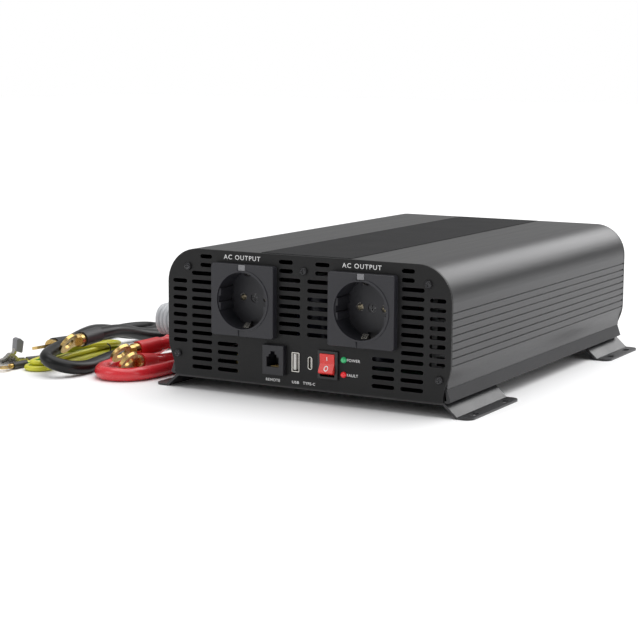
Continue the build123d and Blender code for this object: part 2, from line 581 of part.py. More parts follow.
# ---- fans: frame and hub spider behind the rear panel, rotor on its own axle, guard outside ----
FAN_Y1 = INNER_REAR
FAN_Y0 = FAN_Y1 - FAN_DEPTH
AXLE_R = 1.5
GUARD_WIRE_R = 0.6
GUARD_RINGS = (4.0, 9.5, 15.0, 20.5)
frames, guards, fan_screws = [], [], []
for name, fan_x in zip(("fan_left_rotor", "fan_right_rotor"), FAN_X):
    half = FAN_SIZE / 2
    body = block(fan_x - half, fan_x + half, FAN_Y0, FAN_Y1, FAN_Z - half, FAN_Z + half)
    body = fillet(body.edges().filter_by(Axis.Y), 3.5)
    body -= rod_y(fan_x, FAN_Z, FAN_Y0 - 1, FAN_Y1 + 1, ROTOR_R + 1.5)
    corners = fan_corners(fan_x)
    for x, z in corners:
        body -= rod_y(x, z, FAN_Y0 - 1, FAN_Y1 + 1, FAN_HOLE_R)
    body += rod_y(fan_x, FAN_Z, FAN_Y0, FAN_Y0 + 3, HUB_R)
    for angle in (30, 150, 270):
        arm = Pos((HUB_R + ROTOR_R + 2) / 2, 0, 0) * Box(ROTOR_R + 2 - HUB_R + 2, 3, 2.6)
        body += Pos(fan_x, FAN_Y0 + 1.5, FAN_Z) * Rot(0, angle, 0) * arm
    body -= rod_y(fan_x, FAN_Z, FAN_Y0 + 1, FAN_Y0 + 4, AXLE_R + 0.05)
    frames.append(body)

    rotor = rod_y(fan_x, FAN_Z, FAN_Y0 + 3.6, FAN_Y1 - 1.5, HUB_R)
    rotor = fillet(rotor.edges().filter_by(GeomType.CIRCLE).sort_by(Axis.Y)[-1], 1.2)
    for index in range(BLADES):
        blade = Pos((HUB_R + ROTOR_R) / 2 - 0.4, 0, 0) * Rot(38, 0, 0) * Box(ROTOR_R - HUB_R + 0.8, 14, 1.2)
        rotor += Pos(fan_x, FAN_Y0 + 11, FAN_Z) * Rot(0, index * 360 / BLADES, 0) * blade
    rotor &= rod_y(fan_x, FAN_Z, FAN_Y0 + 3.6, FAN_Y1 - 1.5, ROTOR_R)
    rotor += rod_y(fan_x, FAN_Z, FAN_Y0 + 1.2, FAN_Y0 + 5, AXLE_R)
    save(name, rotor)

    # guard: rings on four spokes, each spoke ending in an eye under a screw
    guard = Pos(fan_x, REAR_Y + 1.6, FAN_Z) * Rot(90, 0, 0) * Torus(GUARD_RINGS[0], GUARD_WIRE_R)
    for radius in GUARD_RINGS[1:]:
        guard += Pos(fan_x, REAR_Y + 1.6, FAN_Z) * Rot(90, 0, 0) * Torus(radius, GUARD_WIRE_R)
    for angle in (45, 135, 225, 315):
        spoke = Pos(14.8, 0, 0) * Rot(0, 90, 0) * Cylinder(GUARD_WIRE_R - 0.05, 22.4)
        guard += Pos(fan_x, REAR_Y + GUARD_WIRE_R, FAN_Z) * Rot(0, angle, 0) * spoke
    for x, z in corners:
        guard += rod_y(x, z, REAR_Y, REAR_Y + 1.2, 3.0)
        guard -= rod_y(x, z, REAR_Y - 1, REAR_Y + 3, FAN_HOLE_R)
        fan_screws.append(machine_screw(x, REAR_Y + 1.2, z, 2.9, 1.7, 1.6, 12.0, 1))
    guards.append(guard)
save("fan_frames", *frames)
save("fan_guards", *guards)
save("fan_screws", *fan_screws)

# ---- battery terminals ----
BLOCK_Y1 = REAR_Y + 8.0


def terminal_block(stud_xs):
    """Moulded insulator with a barrier between the two studs."""
    x0, x1 = stud_xs[0] - 10.5, stud_xs[1] + 11.0
    body = block(x0, x1, REAR_Y, BLOCK_Y1, STUD_Z - 12, STUD_Z + 13)
    body = fillet(body.edges().filter_by(Axis.Y), 2.0)
    body += block(x0, x1, BLOCK_Y1 - 0.01, BLOCK_Y1 + 9, STUD_Z + 10.5, STUD_Z + 13)
    for stud_x in stud_xs:
        body += rod_y(stud_x, STUD_Z, INNER_REAR - 1.5, REAR_Y + 0.1, BLOCK_BOSS_R)
        body -= rod_y(stud_x, STUD_Z, INNER_REAR - 3, BLOCK_Y1 + 12, STUD_R)
    return body


save("terminal_block_red", terminal_block(RED_STUDS_X))
save("terminal_block_black", terminal_block(BLACK_STUDS_X))
NUT_Y = LUG_Y + LUG_T / 2
studs, nuts, rear_lugs = [], [], []


def ring_lug():
    """Crimp lug in its own frame: ring centre at the origin, barrel out along +X, palm in XY."""
    palm = Cylinder(LUG_RING_R, LUG_T)
    palm += Pos(LUG_NECK / 2 + 1, 0, 0) * Box(LUG_NECK, 9.4, LUG_T)
    barrel = Pos(LUG_NECK + LUG_BARREL_L / 2, 0, 0) * Rot(0, 90, 0) * Cylinder(4.9, LUG_BARREL_L)
    return palm + barrel - Cylinder(LUG_HOLE_R, 10)


def hex_nut(x, z, y0, across, thick, bore_r):
    """A nut with its axis along Y."""
    blank = along_y(Pos(x, z) * RegularPolygon(across / 2, 6, major_radius=False), y0, y0 + thick)
    flange = rod_y(x, z, y0, y0 + 1.4, across / 2 + 1.4)
    return blank + flange - rod_y(x, z, y0 - 1, y0 + thick + 1, bore_r)


DOWN_LEFT = (-math.sqrt(0.5), 0, -math.sqrt(0.5))
for stud_x in RED_STUDS_X + BLACK_STUDS_X:
    studs.append(rod_y(stud_x, STUD_Z, INNER_REAR - 12, REAR_Y + REAR_PROUD, STUD_R))
    nuts.append(hex_nut(stud_x, STUD_Z, NUT_Y, 13.0, 7.0, STUD_R))
    rear_lugs.append(frame_at((stud_x, LUG_Y, STUD_Z), DOWN_LEFT, (0, 1, 0)) * ring_lug())
    nuts.append(hex_nut(stud_x, STUD_Z, BLOCK_Y1, 13.0, LUG_Y - LUG_T / 2 - BLOCK_Y1, STUD_R))
save("terminal_studs", *studs)
save("terminal_nuts", *nuts)
save("rear_ring_lugs", *rear_lugs)

earth_stud = rod_y(EARTH_STUD_X, EARTH_STUD_Z, INNER_REAR - 6, REAR_Y + 14, 2.5)
earth_nut = hex_nut(EARTH_STUD_X, EARTH_STUD_Z, REAR_Y, 8.0, 4.0, 2.5)
save("earth_terminal", earth_stud, earth_nut)

# ---- battery leads ----
LAY = CABLE_D / 2 + 0.1    # centre height of a lead that lies on the ground
LEAD_DROP = LUG_END * math.sqrt(0.5)


def lead_start(stud_x):
    """Where a lead leaves its lug on the terminal stud."""
    return (stud_x - LEAD_DROP, LUG_Y, STUD_Z - LEAD_DROP)


def sleeve_on(end, direction, radius, inner, length, back):
    """Heat-shrink sleeve over a lug's barrel and the first of its lead; back reaches over the barrel."""
    across = (0, 1, 0) if abs(direction[1]) < 0.9 else (1, 0, 0)
    loc = frame_at(end, across, direction)
    outer = Pos(0, 0, length / 2 - back) * Cylinder(radius, length)
    return loc * (outer - Pos(0, 0, length / 2 - back) * Cylinder(inner, length + 2))


def sleeve_at_start(points):
    """Sleeve at the case end of a lead, over the last of the lug's barrel."""
    return sleeve_on(points[0], DOWN_LEFT, SLEEVE_R, CABLE_D / 2 + 0.05, SLEEVE_L, SLEEVE_BACK)


def far_direction(points):
    """Unit direction in which a lead's free end points."""
    run = Vector(*points[-1]) - Vector(*points[-2])
    return run.normalized()


def free_lug(points, roll):
    """The ring lug on a lead's free end, turned by roll degrees about the lead."""
    ahead = far_direction(points)
    upright = Vector(0, 0, 1) - ahead * ahead.Z
    normal = upright.normalized().rotate(Axis((0, 0, 0), tuple(ahead)), roll)
    centre = Vector(*points[-1]) + ahead * LUG_END
    return frame_at(tuple(centre), tuple(ahead * -1), tuple(normal)) * ring_lug()


def sleeve_at_end(points):
    """Sleeve at a lead's free end."""
    ahead = far_direction(points)
    return sleeve_on(points[-1], tuple(ahead * -1), SLEEVE_R, CABLE_D / 2 + 0.05, SLEEVE_L, SLEEVE_BACK)


# each route starts at its lug on the terminals, turns round the rear corner and comes forward
RED_LONG = [
    lead_start(RED_STUDS_X[0]), (-130.2, LUG_Y, 35.8), (-143, 160, 15), (-147, 124, LAY), (-142, 68, LAY),
    (-144, 12, LAY), (-138, -44, LAY), (-139.5, -98, LAY), (-136.5, -146, LAY), (-143, -175, LAY),
    (-165, -182, LAY), (-181, -161, LAY), (-180, -125, LAY), (-183, -88, 7.5), (-181, -56, 17),
    (-166, -33, 21), (-146, -38, 21), (-147, -66, 20), (-158, -97, 18.4), (-164, -127, 17),
]
RED_SHORT = [
    lead_start(RED_STUDS_X[1]), (-108.4, LUG_Y, 35.6), (-127, 169, 17), (-151, 172, LAY), (-164, 150, LAY),
    (-159, 104, LAY), (-162, 50, LAY), (-157, -4, LAY), (-160, -54, LAY), (-156.5, -94, LAY), (-158, -120, 6),
    (-155, -142, 9.5),
]
BLACK_LONG = [
    lead_start(BLACK_STUDS_X[0]), (-78.6, LUG_Y, 35.4), (-98, 171, 17), (-124, 181, LAY), (-160, 190, LAY),
    (-192, 177, LAY), (-208, 140, LAY), (-203, 84, LAY), (-206.5, 26, LAY), (-201, -30, LAY), (-205, -76, LAY),
    (-203, -112, LAY), (-195, -146, LAY), (-190.5, -168, LAY), (-194, -187, 8), (-210, -191, 13),
    (-221, -172, 14.4), (-229, -142, 15.4), (-237, -108, 18.4), (-246, -78, 17), (-249, -52, 12), (-246, -26, 6.5),
    (-243, -3, LAY), (-251, 16, LAY), (-269, 14, LAY), (-276, -14, LAY), (-269, -52, LAY), (-267, -82, 5.6),
    (-263, -106, 7.5),
]
BLACK_SHORT = [
    lead_start(BLACK_STUDS_X[1]), (-56.6, LUG_Y, 35.4), (-76, 173, 17), (-101, 187, LAY), (-138, 203, LAY),
    (-180, 206, LAY), (-213, 190, LAY), (-228, 150, LAY), (-221, 92, LAY), (-225.5, 36, LAY), (-219, -14, LAY),
    (-222, -50, 11), (-217, -84, 20), (-213, -112, 22.5), (-212.5, -134, 21.5),
]
save("red_cable_long", cable(RED_LONG, CABLE_D, "red_cable_long"))
save("red_cable_short", cable(RED_SHORT, CABLE_D, "red_cable_short"))
save("black_cable_long", cable(BLACK_LONG, CABLE_D, "black_cable_long"))
save("black_cable_short", cable(BLACK_SHORT, CABLE_D, "black_cable_short"))
save("free_ring_lugs", free_lug(RED_LONG, 50), free_lug(RED_SHORT, 50),
     free_lug(BLACK_LONG, 12), free_lug(BLACK_SHORT, 55))
for name, routes in (("red_sleeves", (RED_LONG, RED_SHORT)), ("black_sleeves", (BLACK_LONG, BLACK_SHORT))):
    sleeves = [sleeve_at_start(route) for route in routes]
    sleeves += [sleeve_at_end(route) for route in routes]
    save(name, *sleeves)

# ---- earth lead: a tied hank with a ring lug on one end and a spring clip on the other ----
HANK_FRONT = Vector(-232.0, -170.0)
HANK_REAR = Vector(-236.5, -78.0)
HANK_HALF = 11.5
HANK_H = 8.3
GROUND_GAP = 0.05
hank_run = HANK_REAR - HANK_FRONT
hank_angle = math.degrees(math.atan2(hank_run.Y, hank_run.X))
hank_mid = (HANK_FRONT + HANK_REAR) * 0.5
hank_face = SlotOverall(hank_run.length + 2 * HANK_HALF, 2 * HANK_HALF, rotation=hank_angle)
earth_hank = Pos(hank_mid.X, hank_mid.Y, GROUND_GAP) * extrude(hank_face, HANK_H)
save("earth_lead_hank", earth_hank)

# the clip's frame: its jaws point along its own -X, its lead comes in from +X
CLIP_AT = (-256.5, -156.0, 3.3)
CLIP_W = 7.0
CLIP_PIVOT_X, CLIP_PIVOT_Z = -11.0, 2.6
CLIP_LEAD = (0.447, 0.894, 0.0)      # from the clip back along its lead
clip_loc = frame_at(CLIP_AT, CLIP_LEAD, (0, 0, 1))


def clip_profile(points, width):
    """A side profile in the clip's X and Z, drawn to a width."""
    solid = extrude(make_face(Polyline(*points, close=True)), width)
    return frame_at((0, width / 2, 0), (1, 0, 0), (0, -1, 0)) * solid


# the base is a channel open upwards that narrows into the lower jaw
base_side = [
    (1, -3.2), (1, 1.2), (-6, 1.6), (-9, 4.6), (-13, 4.6), (-16, 0.4), (-25, -1.0), (-26, -1.8), (-22, -3.2)]
base_jaw = clip_profile(base_side, CLIP_W)
base_jaw -= clip_profile([(2, -2.5), (2, 6), (-20, 6), (-20, -1.2), (-16, -2.5)], CLIP_W - 1.4)
for index in range(5):
    tooth_x = -18.6 - index * 1.5
    base_jaw -= clip_profile([(tooth_x - 0.5, -0.1), (tooth_x + 0.5, -0.1), (tooth_x, -1.3)], CLIP_W + 1)
pivot_hole = Pos(CLIP_PIVOT_X, 0, CLIP_PIVOT_Z) * Rot(90, 0, 0) * Cylinder(0.8, CLIP_W + 2)
base_jaw -= pivot_hole
save("clip_base", clip_loc * base_jaw)

lever_side = [
    (-25.6, 0.0), (-17, 1.2), (-12, 5.2), (-8.6, 5.4), (-5.2, 14.5), (-6.4, 14.9), (-10.2, 6.2), (-13, 6.2),
    (-17.4, 2.6), (-25.6, 1.0)]
lever = clip_profile(lever_side, CLIP_W - 1.7)
lever += clip_profile([(-9.2, 1.2), (-9.2, 5.6), (-12.8, 5.6), (-12.8, 1.2)], CLIP_W - 1.7)
lever -= clip_profile([(-8.6, 0.5), (-8.6, 4.7), (-13.4, 4.7), (-13.4, 0.5)], CLIP_W - 3.1)
lever_hole = Pos(CLIP_PIVOT_X, 0, CLIP_PIVOT_Z) * Rot(90, 0, 0) * Cylinder(0.85, CLIP_W + 2)
lever -= lever_hole
save("clip_lever", clip_loc * lever)
handle = clip_profile([(-4.0, 6.0), (-8.9, 7.8), (-8.1, 16.6), (-5.6, 17.6), (-2.6, 14.9)], 8.0)
handle = fillet(handle.edges().filter_by(Axis.Y), 0.9)
handle -= lever
save("clip_handle_cover", clip_loc * handle)
clip_pin = Pos(CLIP_PIVOT_X, 0, CLIP_PIVOT_Z) * Rot(90, 0, 0) * Cylinder(0.8, CLIP_W + 1.2)
save("clip_pin", clip_loc * clip_pin)
coil = None
for index in range(3):
    turn = Pos(CLIP_PIVOT_X, (index - 1) * 0.8, CLIP_PIVOT_Z) * Rot(90, 0, 0) * Torus(1.35, 0.38)
    coil = turn if coil is None else coil + turn
save("clip_spring", clip_loc * coil)

# each end of the earth lead: a short tail from the hank, sleeved where it enters its fitting
EARTH_SLEEVE_R = 2.7
EARTH_LAY = EARTH_SLEEVE_R + GROUND_GAP
clip_ahead = Vector(*CLIP_LEAD)
clip_mouth = Vector(CLIP_AT[0], CLIP_AT[1], EARTH_LAY) + clip_ahead * 1.2
EARTH_TO_CLIP = [
    tuple(clip_mouth), tuple(clip_mouth + clip_ahead * 20.0), (-243.0, -127.0, EARTH_LAY),
    (-238.0, -116.0, EARTH_LAY)]
RING_AT = Vector(-250.0, -189.0, EARTH_LAY)
ring_ahead = Vector(0.1, 0.995, 0.0)
RING_REACH = 9.0           # ring centre to the small lug's mouth
ring_mouth = RING_AT + ring_ahead * RING_REACH
EARTH_TO_RING = [
    tuple(ring_mouth), tuple(ring_mouth + ring_ahead * 20.0), (-243.5, -146.0, EARTH_LAY),
    (-239.0, -134.0, EARTH_LAY)]
tails = []
for name, route in (("earth tail to the clip", EARTH_TO_CLIP), ("earth tail to the ring", EARTH_TO_RING)):
    tails.append(cable(route, EARTH_D, name) - earth_hank)
save("earth_lead_tails", *tails)
earth_sleeves = []
for mouth, ahead, length in ((clip_mouth, clip_ahead, 14.0), (ring_mouth, ring_ahead, 14.0)):
    earth_sleeves.append(
        sleeve_on(tuple(mouth), tuple(ahead), EARTH_SLEEVE_R, EARTH_D / 2 + 0.05, length, 0.0))
save("earth_sleeves", *earth_sleeves)
EARTH_HOLE_R = 2.6
small_lug = Cylinder(4.9, 1.0) + Pos(4.5, 0, 0) * Box(4, 4, 1.0)
small_lug += Pos((6.0 + RING_REACH) / 2, 0, 0) * Rot(0, 90, 0) * Cylinder(2.0, RING_REACH - 6.0)
small_lug -= Cylinder(EARTH_HOLE_R, 4)
save("earth_ring_lug", frame_at(tuple(RING_AT), tuple(ring_ahead), (0, 0, 1)) * small_lug)

# ---- remote control cord: a tied hank that leans on the case's left side, with a plug on each end ----
CORD_HANK_X0, CORD_HANK_X1 = -149.0, -118.0
CORD_HANK_Y0, CORD_HANK_Y1 = -140.0, -28.0
CORD_HANK_Z0, CORD_HANK_H = 27.5, 25.0
cord_face = SlotOverall(CORD_HANK_Y1 - CORD_HANK_Y0, CORD_HANK_H)
cord_corner = (CORD_HANK_X0, (CORD_HANK_Y0 + CORD_HANK_Y1) / 2, CORD_HANK_Z0 + CORD_HANK_H / 2)
cord_loc = frame_at(cord_corner, (0, 1, 0), (1, 0, 0))
save("remote_cord_hank", cord_loc * extrude(cord_face, CORD_HANK_X1 - CORD_HANK_X0))
plugs = []
PLUG_Y0 = CORD_HANK_Y1 + 0.5
for plug_x in (CORD_HANK_X0 + 8, CORD_HANK_X1 - 8):
    plug_z = CORD_HANK_Z0 + 13
    plug = block(plug_x - 4.8, plug_x + 4.8, PLUG_Y0, PLUG_Y0 + 12, plug_z - 3.3, plug_z + 3.3)
    plug += block(plug_x - 3.0, plug_x + 3.0, PLUG_Y0 + 6, PLUG_Y0 + 12, plug_z + 3.2, plug_z + 4.8)
    plug += block(plug_x - 1.6, plug_x + 1.6, PLUG_Y0, PLUG_Y0 + 11.9, plug_z + 4.2, plug_z + 5.4)
    plugs.append(plug)
save("remote_cord_plugs", *plugs)
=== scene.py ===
import json
from math import cos, pi, radians, sin

import bpy
from mathutils import Matrix, Vector


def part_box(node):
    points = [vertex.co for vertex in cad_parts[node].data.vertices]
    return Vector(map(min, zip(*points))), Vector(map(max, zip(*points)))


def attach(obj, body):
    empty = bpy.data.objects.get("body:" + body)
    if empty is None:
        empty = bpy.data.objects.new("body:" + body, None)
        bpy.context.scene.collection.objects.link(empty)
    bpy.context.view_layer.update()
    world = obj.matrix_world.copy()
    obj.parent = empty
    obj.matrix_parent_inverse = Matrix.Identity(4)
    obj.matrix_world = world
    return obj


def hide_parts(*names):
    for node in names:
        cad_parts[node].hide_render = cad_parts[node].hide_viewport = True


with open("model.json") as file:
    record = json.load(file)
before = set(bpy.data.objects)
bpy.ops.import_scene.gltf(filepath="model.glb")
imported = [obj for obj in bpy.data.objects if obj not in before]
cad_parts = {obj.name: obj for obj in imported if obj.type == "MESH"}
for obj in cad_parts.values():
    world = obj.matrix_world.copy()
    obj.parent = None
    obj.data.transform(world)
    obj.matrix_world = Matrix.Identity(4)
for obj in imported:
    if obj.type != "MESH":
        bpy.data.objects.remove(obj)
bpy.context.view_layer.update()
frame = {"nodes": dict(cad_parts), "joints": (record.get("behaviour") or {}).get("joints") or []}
nodes = frame["nodes"]

# ---- Work table, lights and camera ----
# A wide pale table top under a broad ceiling light, with a large soft lamp behind the case, one at
# its right and one at its front left.
# The camera looks at the front panel and the right side from a little above.
bpy.ops.object.select_all(action="DESELECT")
bpy.ops.mesh.primitive_plane_add(size=12.0, location=(0, 2.0, 0))
table_top = bpy.context.object
table_top.name = "table_top"
table_paint = bpy.data.materials.new("table_paint")
table_paint.use_nodes = True
table_shader = table_paint.node_tree.nodes["Principled BSDF"]
table_shader.inputs["Base Color"].default_value = (0.93, 0.93, 0.935, 1)
table_shader.inputs["Roughness"].default_value = 0.6
table_top.data.materials.append(table_paint)

room = bpy.context.scene.world or bpy.data.worlds.new("room")
bpy.context.scene.world = room
room.use_nodes = True
sky = room.node_tree.nodes["Background"]
sky.inputs["Color"].default_value = (1.0, 1.0, 1.0, 1)
seen_or_lit = room.node_tree.nodes.new("ShaderNodeLightPath")
sky_strength = room.node_tree.nodes.new("ShaderNodeMapRange")
sky_strength.inputs["To Min"].default_value = 0.42     # what lights the table and the case
sky_strength.inputs["To Max"].default_value = 1.0      # what shows behind the table
room.node_tree.links.new(seen_or_lit.outputs["Is Camera Ray"], sky_strength.inputs["Value"])
room.node_tree.links.new(sky_strength.outputs[0], sky.inputs["Strength"])
bpy.context.scene.view_settings.view_transform = "Standard"

bpy.ops.object.light_add(type="SUN", location=(0, 0, 2))
ceiling = bpy.context.object
ceiling.name = "lamp_ceiling"
ceiling.data.energy = 2.5
ceiling.data.angle = radians(75)
ceiling.rotation_euler = (radians(-12), radians(8), 0)
LAMPS = (
    ("lamp_back", (0.35, 1.7, 0.95), (0.0, 0.0, 0.08), 1.0, 9.0),
    ("lamp_right", (1.5, -0.2, 0.75), (0.0, 0.0, 0.05), 0.9, 4.0),
    ("lamp_front_left", (-0.9, -1.4, 0.9), (0.0, 0.0, 0.05), 0.9, 4.0),
)
for name, place, target, size, power in LAMPS:
    bpy.ops.object.light_add(type="AREA", location=place)
    lamp = bpy.context.object
    lamp.name = name
    lamp.data.size = size
    lamp.data.energy = power
    lamp.rotation_euler = (Vector(target) - Vector(place)).to_track_quat("-Z", "Y").to_euler()

CAMERA_PLACE = (0.5711, -1.1685, 0.2312)
CAMERA_TURN, CAMERA_DROP, CAMERA_ROLL = radians(29.37), radians(8.61), radians(0.35)
bpy.ops.object.camera_add(location=CAMERA_PLACE)
camera = bpy.context.object
aim = Matrix.Rotation(CAMERA_TURN, 4, "Z") @ Matrix.Rotation(pi / 2 - CAMERA_DROP, 4, "X")
camera.matrix_world = Matrix.Translation(CAMERA_PLACE) @ aim @ Matrix.Rotation(CAMERA_ROLL, 4, "Z")
camera.data.sensor_width = 36.0
camera.data.lens = 96.43
bpy.context.scene.camera = camera


# ---- Red battery leads ----
# Two leads of stranded copper in soft red PVC, ten millimetres thick. Each is bolted to a red
# stud at the back, runs forward on the table and ends in a ring lug. The long one folds back twice.
def shader_group(name, sockets_in, sockets_out):
    """An empty node group with the named sockets, each given as (name, type, default)."""
    group = bpy.data.node_groups.new(name, "ShaderNodeTree")
    for label, kind, value in sockets_in:
        socket = group.interface.new_socket(name=label, in_out="INPUT", socket_type=kind)
        socket.default_value = value
    for label, kind in sockets_out:
        group.interface.new_socket(name=label, in_out="OUTPUT", socket_type=kind)
    return group


FLOAT, COLOUR, VECTOR = "NodeSocketFloat", "NodeSocketColor", "NodeSocketVector"

# The group mottles a colour, spreads its roughness and raises a fine grain on the surface.
grain = shader_group(
    "surface_grain",
    [("Colour", COLOUR, (0.5, 0.5, 0.5, 1)), ("Mottle", FLOAT, 0.1), ("Mottle Scale", FLOAT, 30.0),
     ("Roughness", FLOAT, 0.5), ("Spread", FLOAT, 0.1), ("Grain Scale", FLOAT, 900.0),
     ("Grain Depth", FLOAT, 0.1), ("Stretch", VECTOR, (1.0, 1.0, 1.0))],
    [("Colour", COLOUR), ("Roughness", FLOAT), ("Normal", VECTOR)])
g = grain.nodes
link = grain.links.new
inside = g.new("NodeGroupInput")
outside = g.new("NodeGroupOutput")
place = g.new("ShaderNodeTexCoord")
stretch = g.new("ShaderNodeVectorMath")
stretch.operation = "MULTIPLY"
link(place.outputs["Object"], stretch.inputs[0])
link(inside.outputs["Stretch"], stretch.inputs[1])
mottle = g.new("ShaderNodeTexNoise")
mottle.inputs["Detail"].default_value = 4.0
link(stretch.outputs[0], mottle.inputs["Vector"])
link(inside.outputs["Mottle Scale"], mottle.inputs["Scale"])
speck = g.new("ShaderNodeTexNoise")
speck.inputs["Detail"].default_value = 3.0
link(stretch.outputs[0], speck.inputs["Vector"])
link(inside.outputs["Grain Scale"], speck.inputs["Scale"])
both = g.new("ShaderNodeMath")
both.operation = "ADD"
link(mottle.outputs["Fac"], both.inputs[0])
link(speck.outputs["Fac"], both.inputs[1])
centred = g.new("ShaderNodeMath")
centred.operation = "SUBTRACT"
centred.inputs[1].default_value = 1.0
link(both.outputs[0], centred.inputs[0])
tint = g.new("ShaderNodeMath")
tint.operation = "MULTIPLY_ADD"
tint.inputs[2].default_value = 1.0
link(centred.outputs[0], tint.inputs[0])
link(inside.outputs["Mottle"], tint.inputs[1])
shade = g.new("ShaderNodeVectorMath")
shade.operation = "SCALE"
link(inside.outputs["Colour"], shade.inputs[0])
link(tint.outputs[0], shade.inputs["Scale"])
link(shade.outputs[0], outside.inputs["Colour"])
rough = g.new("ShaderNodeMath")
rough.operation = "MULTIPLY_ADD"
rough.use_clamp = True
link(centred.outputs[0], rough.inputs[0])
link(inside.outputs["Spread"], rough.inputs[1])
link(inside.outputs["Roughness"], rough.inputs[2])
link(rough.outputs[0], outside.inputs["Roughness"])
bump = g.new("ShaderNodeBump")
bump.inputs["Distance"].default_value = 0.0002
link(inside.outputs["Grain Depth"], bump.inputs["Strength"])
link(speck.outputs["Fac"], bump.inputs["Height"])
link(bump.outputs["Normal"], outside.inputs["Normal"])

# The group finds sharp edges and lightens them: partly wear where handling has polished or bared the finish,
# partly painted highlight where an edge would catch the light.
wear_and_highlight = shader_group(
    "edge_wear_and_highlight",
    [("Colour", COLOUR, (0.5, 0.5, 0.5, 1)), ("Worn And Lit", COLOUR, (0.6, 0.6, 0.6, 1)), ("Amount", FLOAT, 0.5),
     ("Width", FLOAT, 0.0006)],
    [("Colour", COLOUR)])
g = wear_and_highlight.nodes
link = wear_and_highlight.links.new
inside = g.new("NodeGroupInput")
outside = g.new("NodeGroupOutput")
rounded = g.new("ShaderNodeBevel")
rounded.samples = 4
link(inside.outputs["Width"], rounded.inputs["Radius"])
true_normal = g.new("ShaderNodeNewGeometry")
agree = g.new("ShaderNodeVectorMath")
agree.operation = "DOT_PRODUCT"
link(rounded.outputs["Normal"], agree.inputs[0])
link(true_normal.outputs["Normal"], agree.inputs[1])
edge = g.new("ShaderNodeMapRange")
edge.inputs["From Min"].default_value = 0.98
edge.inputs["From Max"].default_value = 0.80
link(agree.outputs["Value"], edge.inputs["Value"])
patch = g.new("ShaderNodeTexNoise")
patch.inputs["Scale"].default_value = 160.0
place = g.new("ShaderNodeTexCoord")
link(place.outputs["Object"], patch.inputs["Vector"])
patches = g.new("ShaderNodeMapRange")
patches.inputs["From Min"].default_value = 0.35
patches.inputs["From Max"].default_value = 0.65
link(patch.outputs["Fac"], patches.inputs["Value"])
worn_and_lit = g.new("ShaderNodeMath")
worn_and_lit.operation = "MULTIPLY"
link(edge.outputs[0], worn_and_lit.inputs[0])
link(patches.outputs[0], worn_and_lit.inputs[1])
amount = g.new("ShaderNodeMath")
amount.operation = "MULTIPLY"
amount.use_clamp = True
link(worn_and_lit.outputs[0], amount.inputs[0])
link(inside.outputs["Amount"], amount.inputs[1])
# Mixing in the lighter colour at the edges paints a highlight there as well as wear.
mix = g.new("ShaderNodeMix")
mix.data_type = "RGBA"
link(amount.outputs[0], mix.inputs["Factor"])
link(inside.outputs["Colour"], mix.inputs["A"])
link(inside.outputs["Worn And Lit"], mix.inputs["B"])
link(mix.outputs["Result"], outside.inputs["Colour"])


def finish(name, colour, roughness, metal=0.0, coat=0.0, mottle=0.15, mottle_scale=30.0, spread=0.12,
           grain_scale=900.0, depth=0.15, stretch=(1.0, 1.0, 1.0), worn_lit_colour=None, worn_and_lit=0.6, edge_width=0.0006,
           sheen_level=0.5):
    """A finish with its own colour, gloss and grain, and edges lightened towards a given colour, partly as
    wear and partly as painted highlight.
    """
    material = bpy.data.materials.new(name)
    material.use_nodes = True
    tree = material.node_tree
    shader = tree.nodes["Principled BSDF"]
    shader.inputs["Metallic"].default_value = metal
    shader.inputs["Coat Weight"].default_value = coat
    shader.inputs["Coat Roughness"].default_value = 0.12
    shader.inputs["Specular IOR Level"].default_value = sheen_level
    surface = tree.nodes.new("ShaderNodeGroup")
    surface.node_tree = grain
    values = {"Colour": (*colour, 1), "Mottle": mottle, "Mottle Scale": mottle_scale, "Roughness": roughness,
              "Spread": spread, "Grain Scale": grain_scale, "Grain Depth": depth, "Stretch": stretch}
    for label, value in values.items():
        surface.inputs[label].default_value = value
    colour_out = surface.outputs["Colour"]
    # Edges lightened here are part wear, part painted highlight.
    if worn_lit_colour:
        edges = tree.nodes.new("ShaderNodeGroup")
        edges.node_tree = wear_and_highlight
        edges.inputs["Worn And Lit"].default_value = (*worn_lit_colour, 1)
        edges.inputs["Amount"].default_value = worn_and_lit
        edges.inputs["Width"].default_value = edge_width
        tree.links.new(colour_out, edges.inputs["Colour"])
        colour_out = edges.outputs["Colour"]
    tree.links.new(colour_out, shader.inputs["Base Color"])
    tree.links.new(surface.outputs["Roughness"], shader.inputs["Roughness"])
    tree.links.new(surface.outputs["Normal"], shader.inputs["Normal"])
    return material


def coat_nodes(material, *names):
    """Give the named CAD nodes this finish."""
    for name in names:
        nodes[name].data.materials.clear()
        nodes[name].data.materials.append(material)


def lay_cord(name, points_mm, thick_mm, material, smooth=12):
    """A round cord along a smooth line through the given control points."""
    curve = bpy.data.curves.new(name, "CURVE")
    curve.dimensions = "3D"
    spline = curve.splines.new("NURBS")
    spline.points.add(len(points_mm) - 1)
    for point, (x, y, z) in zip(spline.points, points_mm):
        point.co = (x / 1000, y / 1000, z / 1000, 1.0)
    spline.order_u = 3
    spline.use_endpoint_u = True
    spline.resolution_u = smooth
    curve.bevel_depth = thick_mm / 2000
    curve.bevel_resolution = 5
    curve.use_fill_caps = True
    curve.materials.append(material)
    cord = bpy.data.objects.new(name, curve)
    bpy.context.collection.objects.link(cord)
    return cord


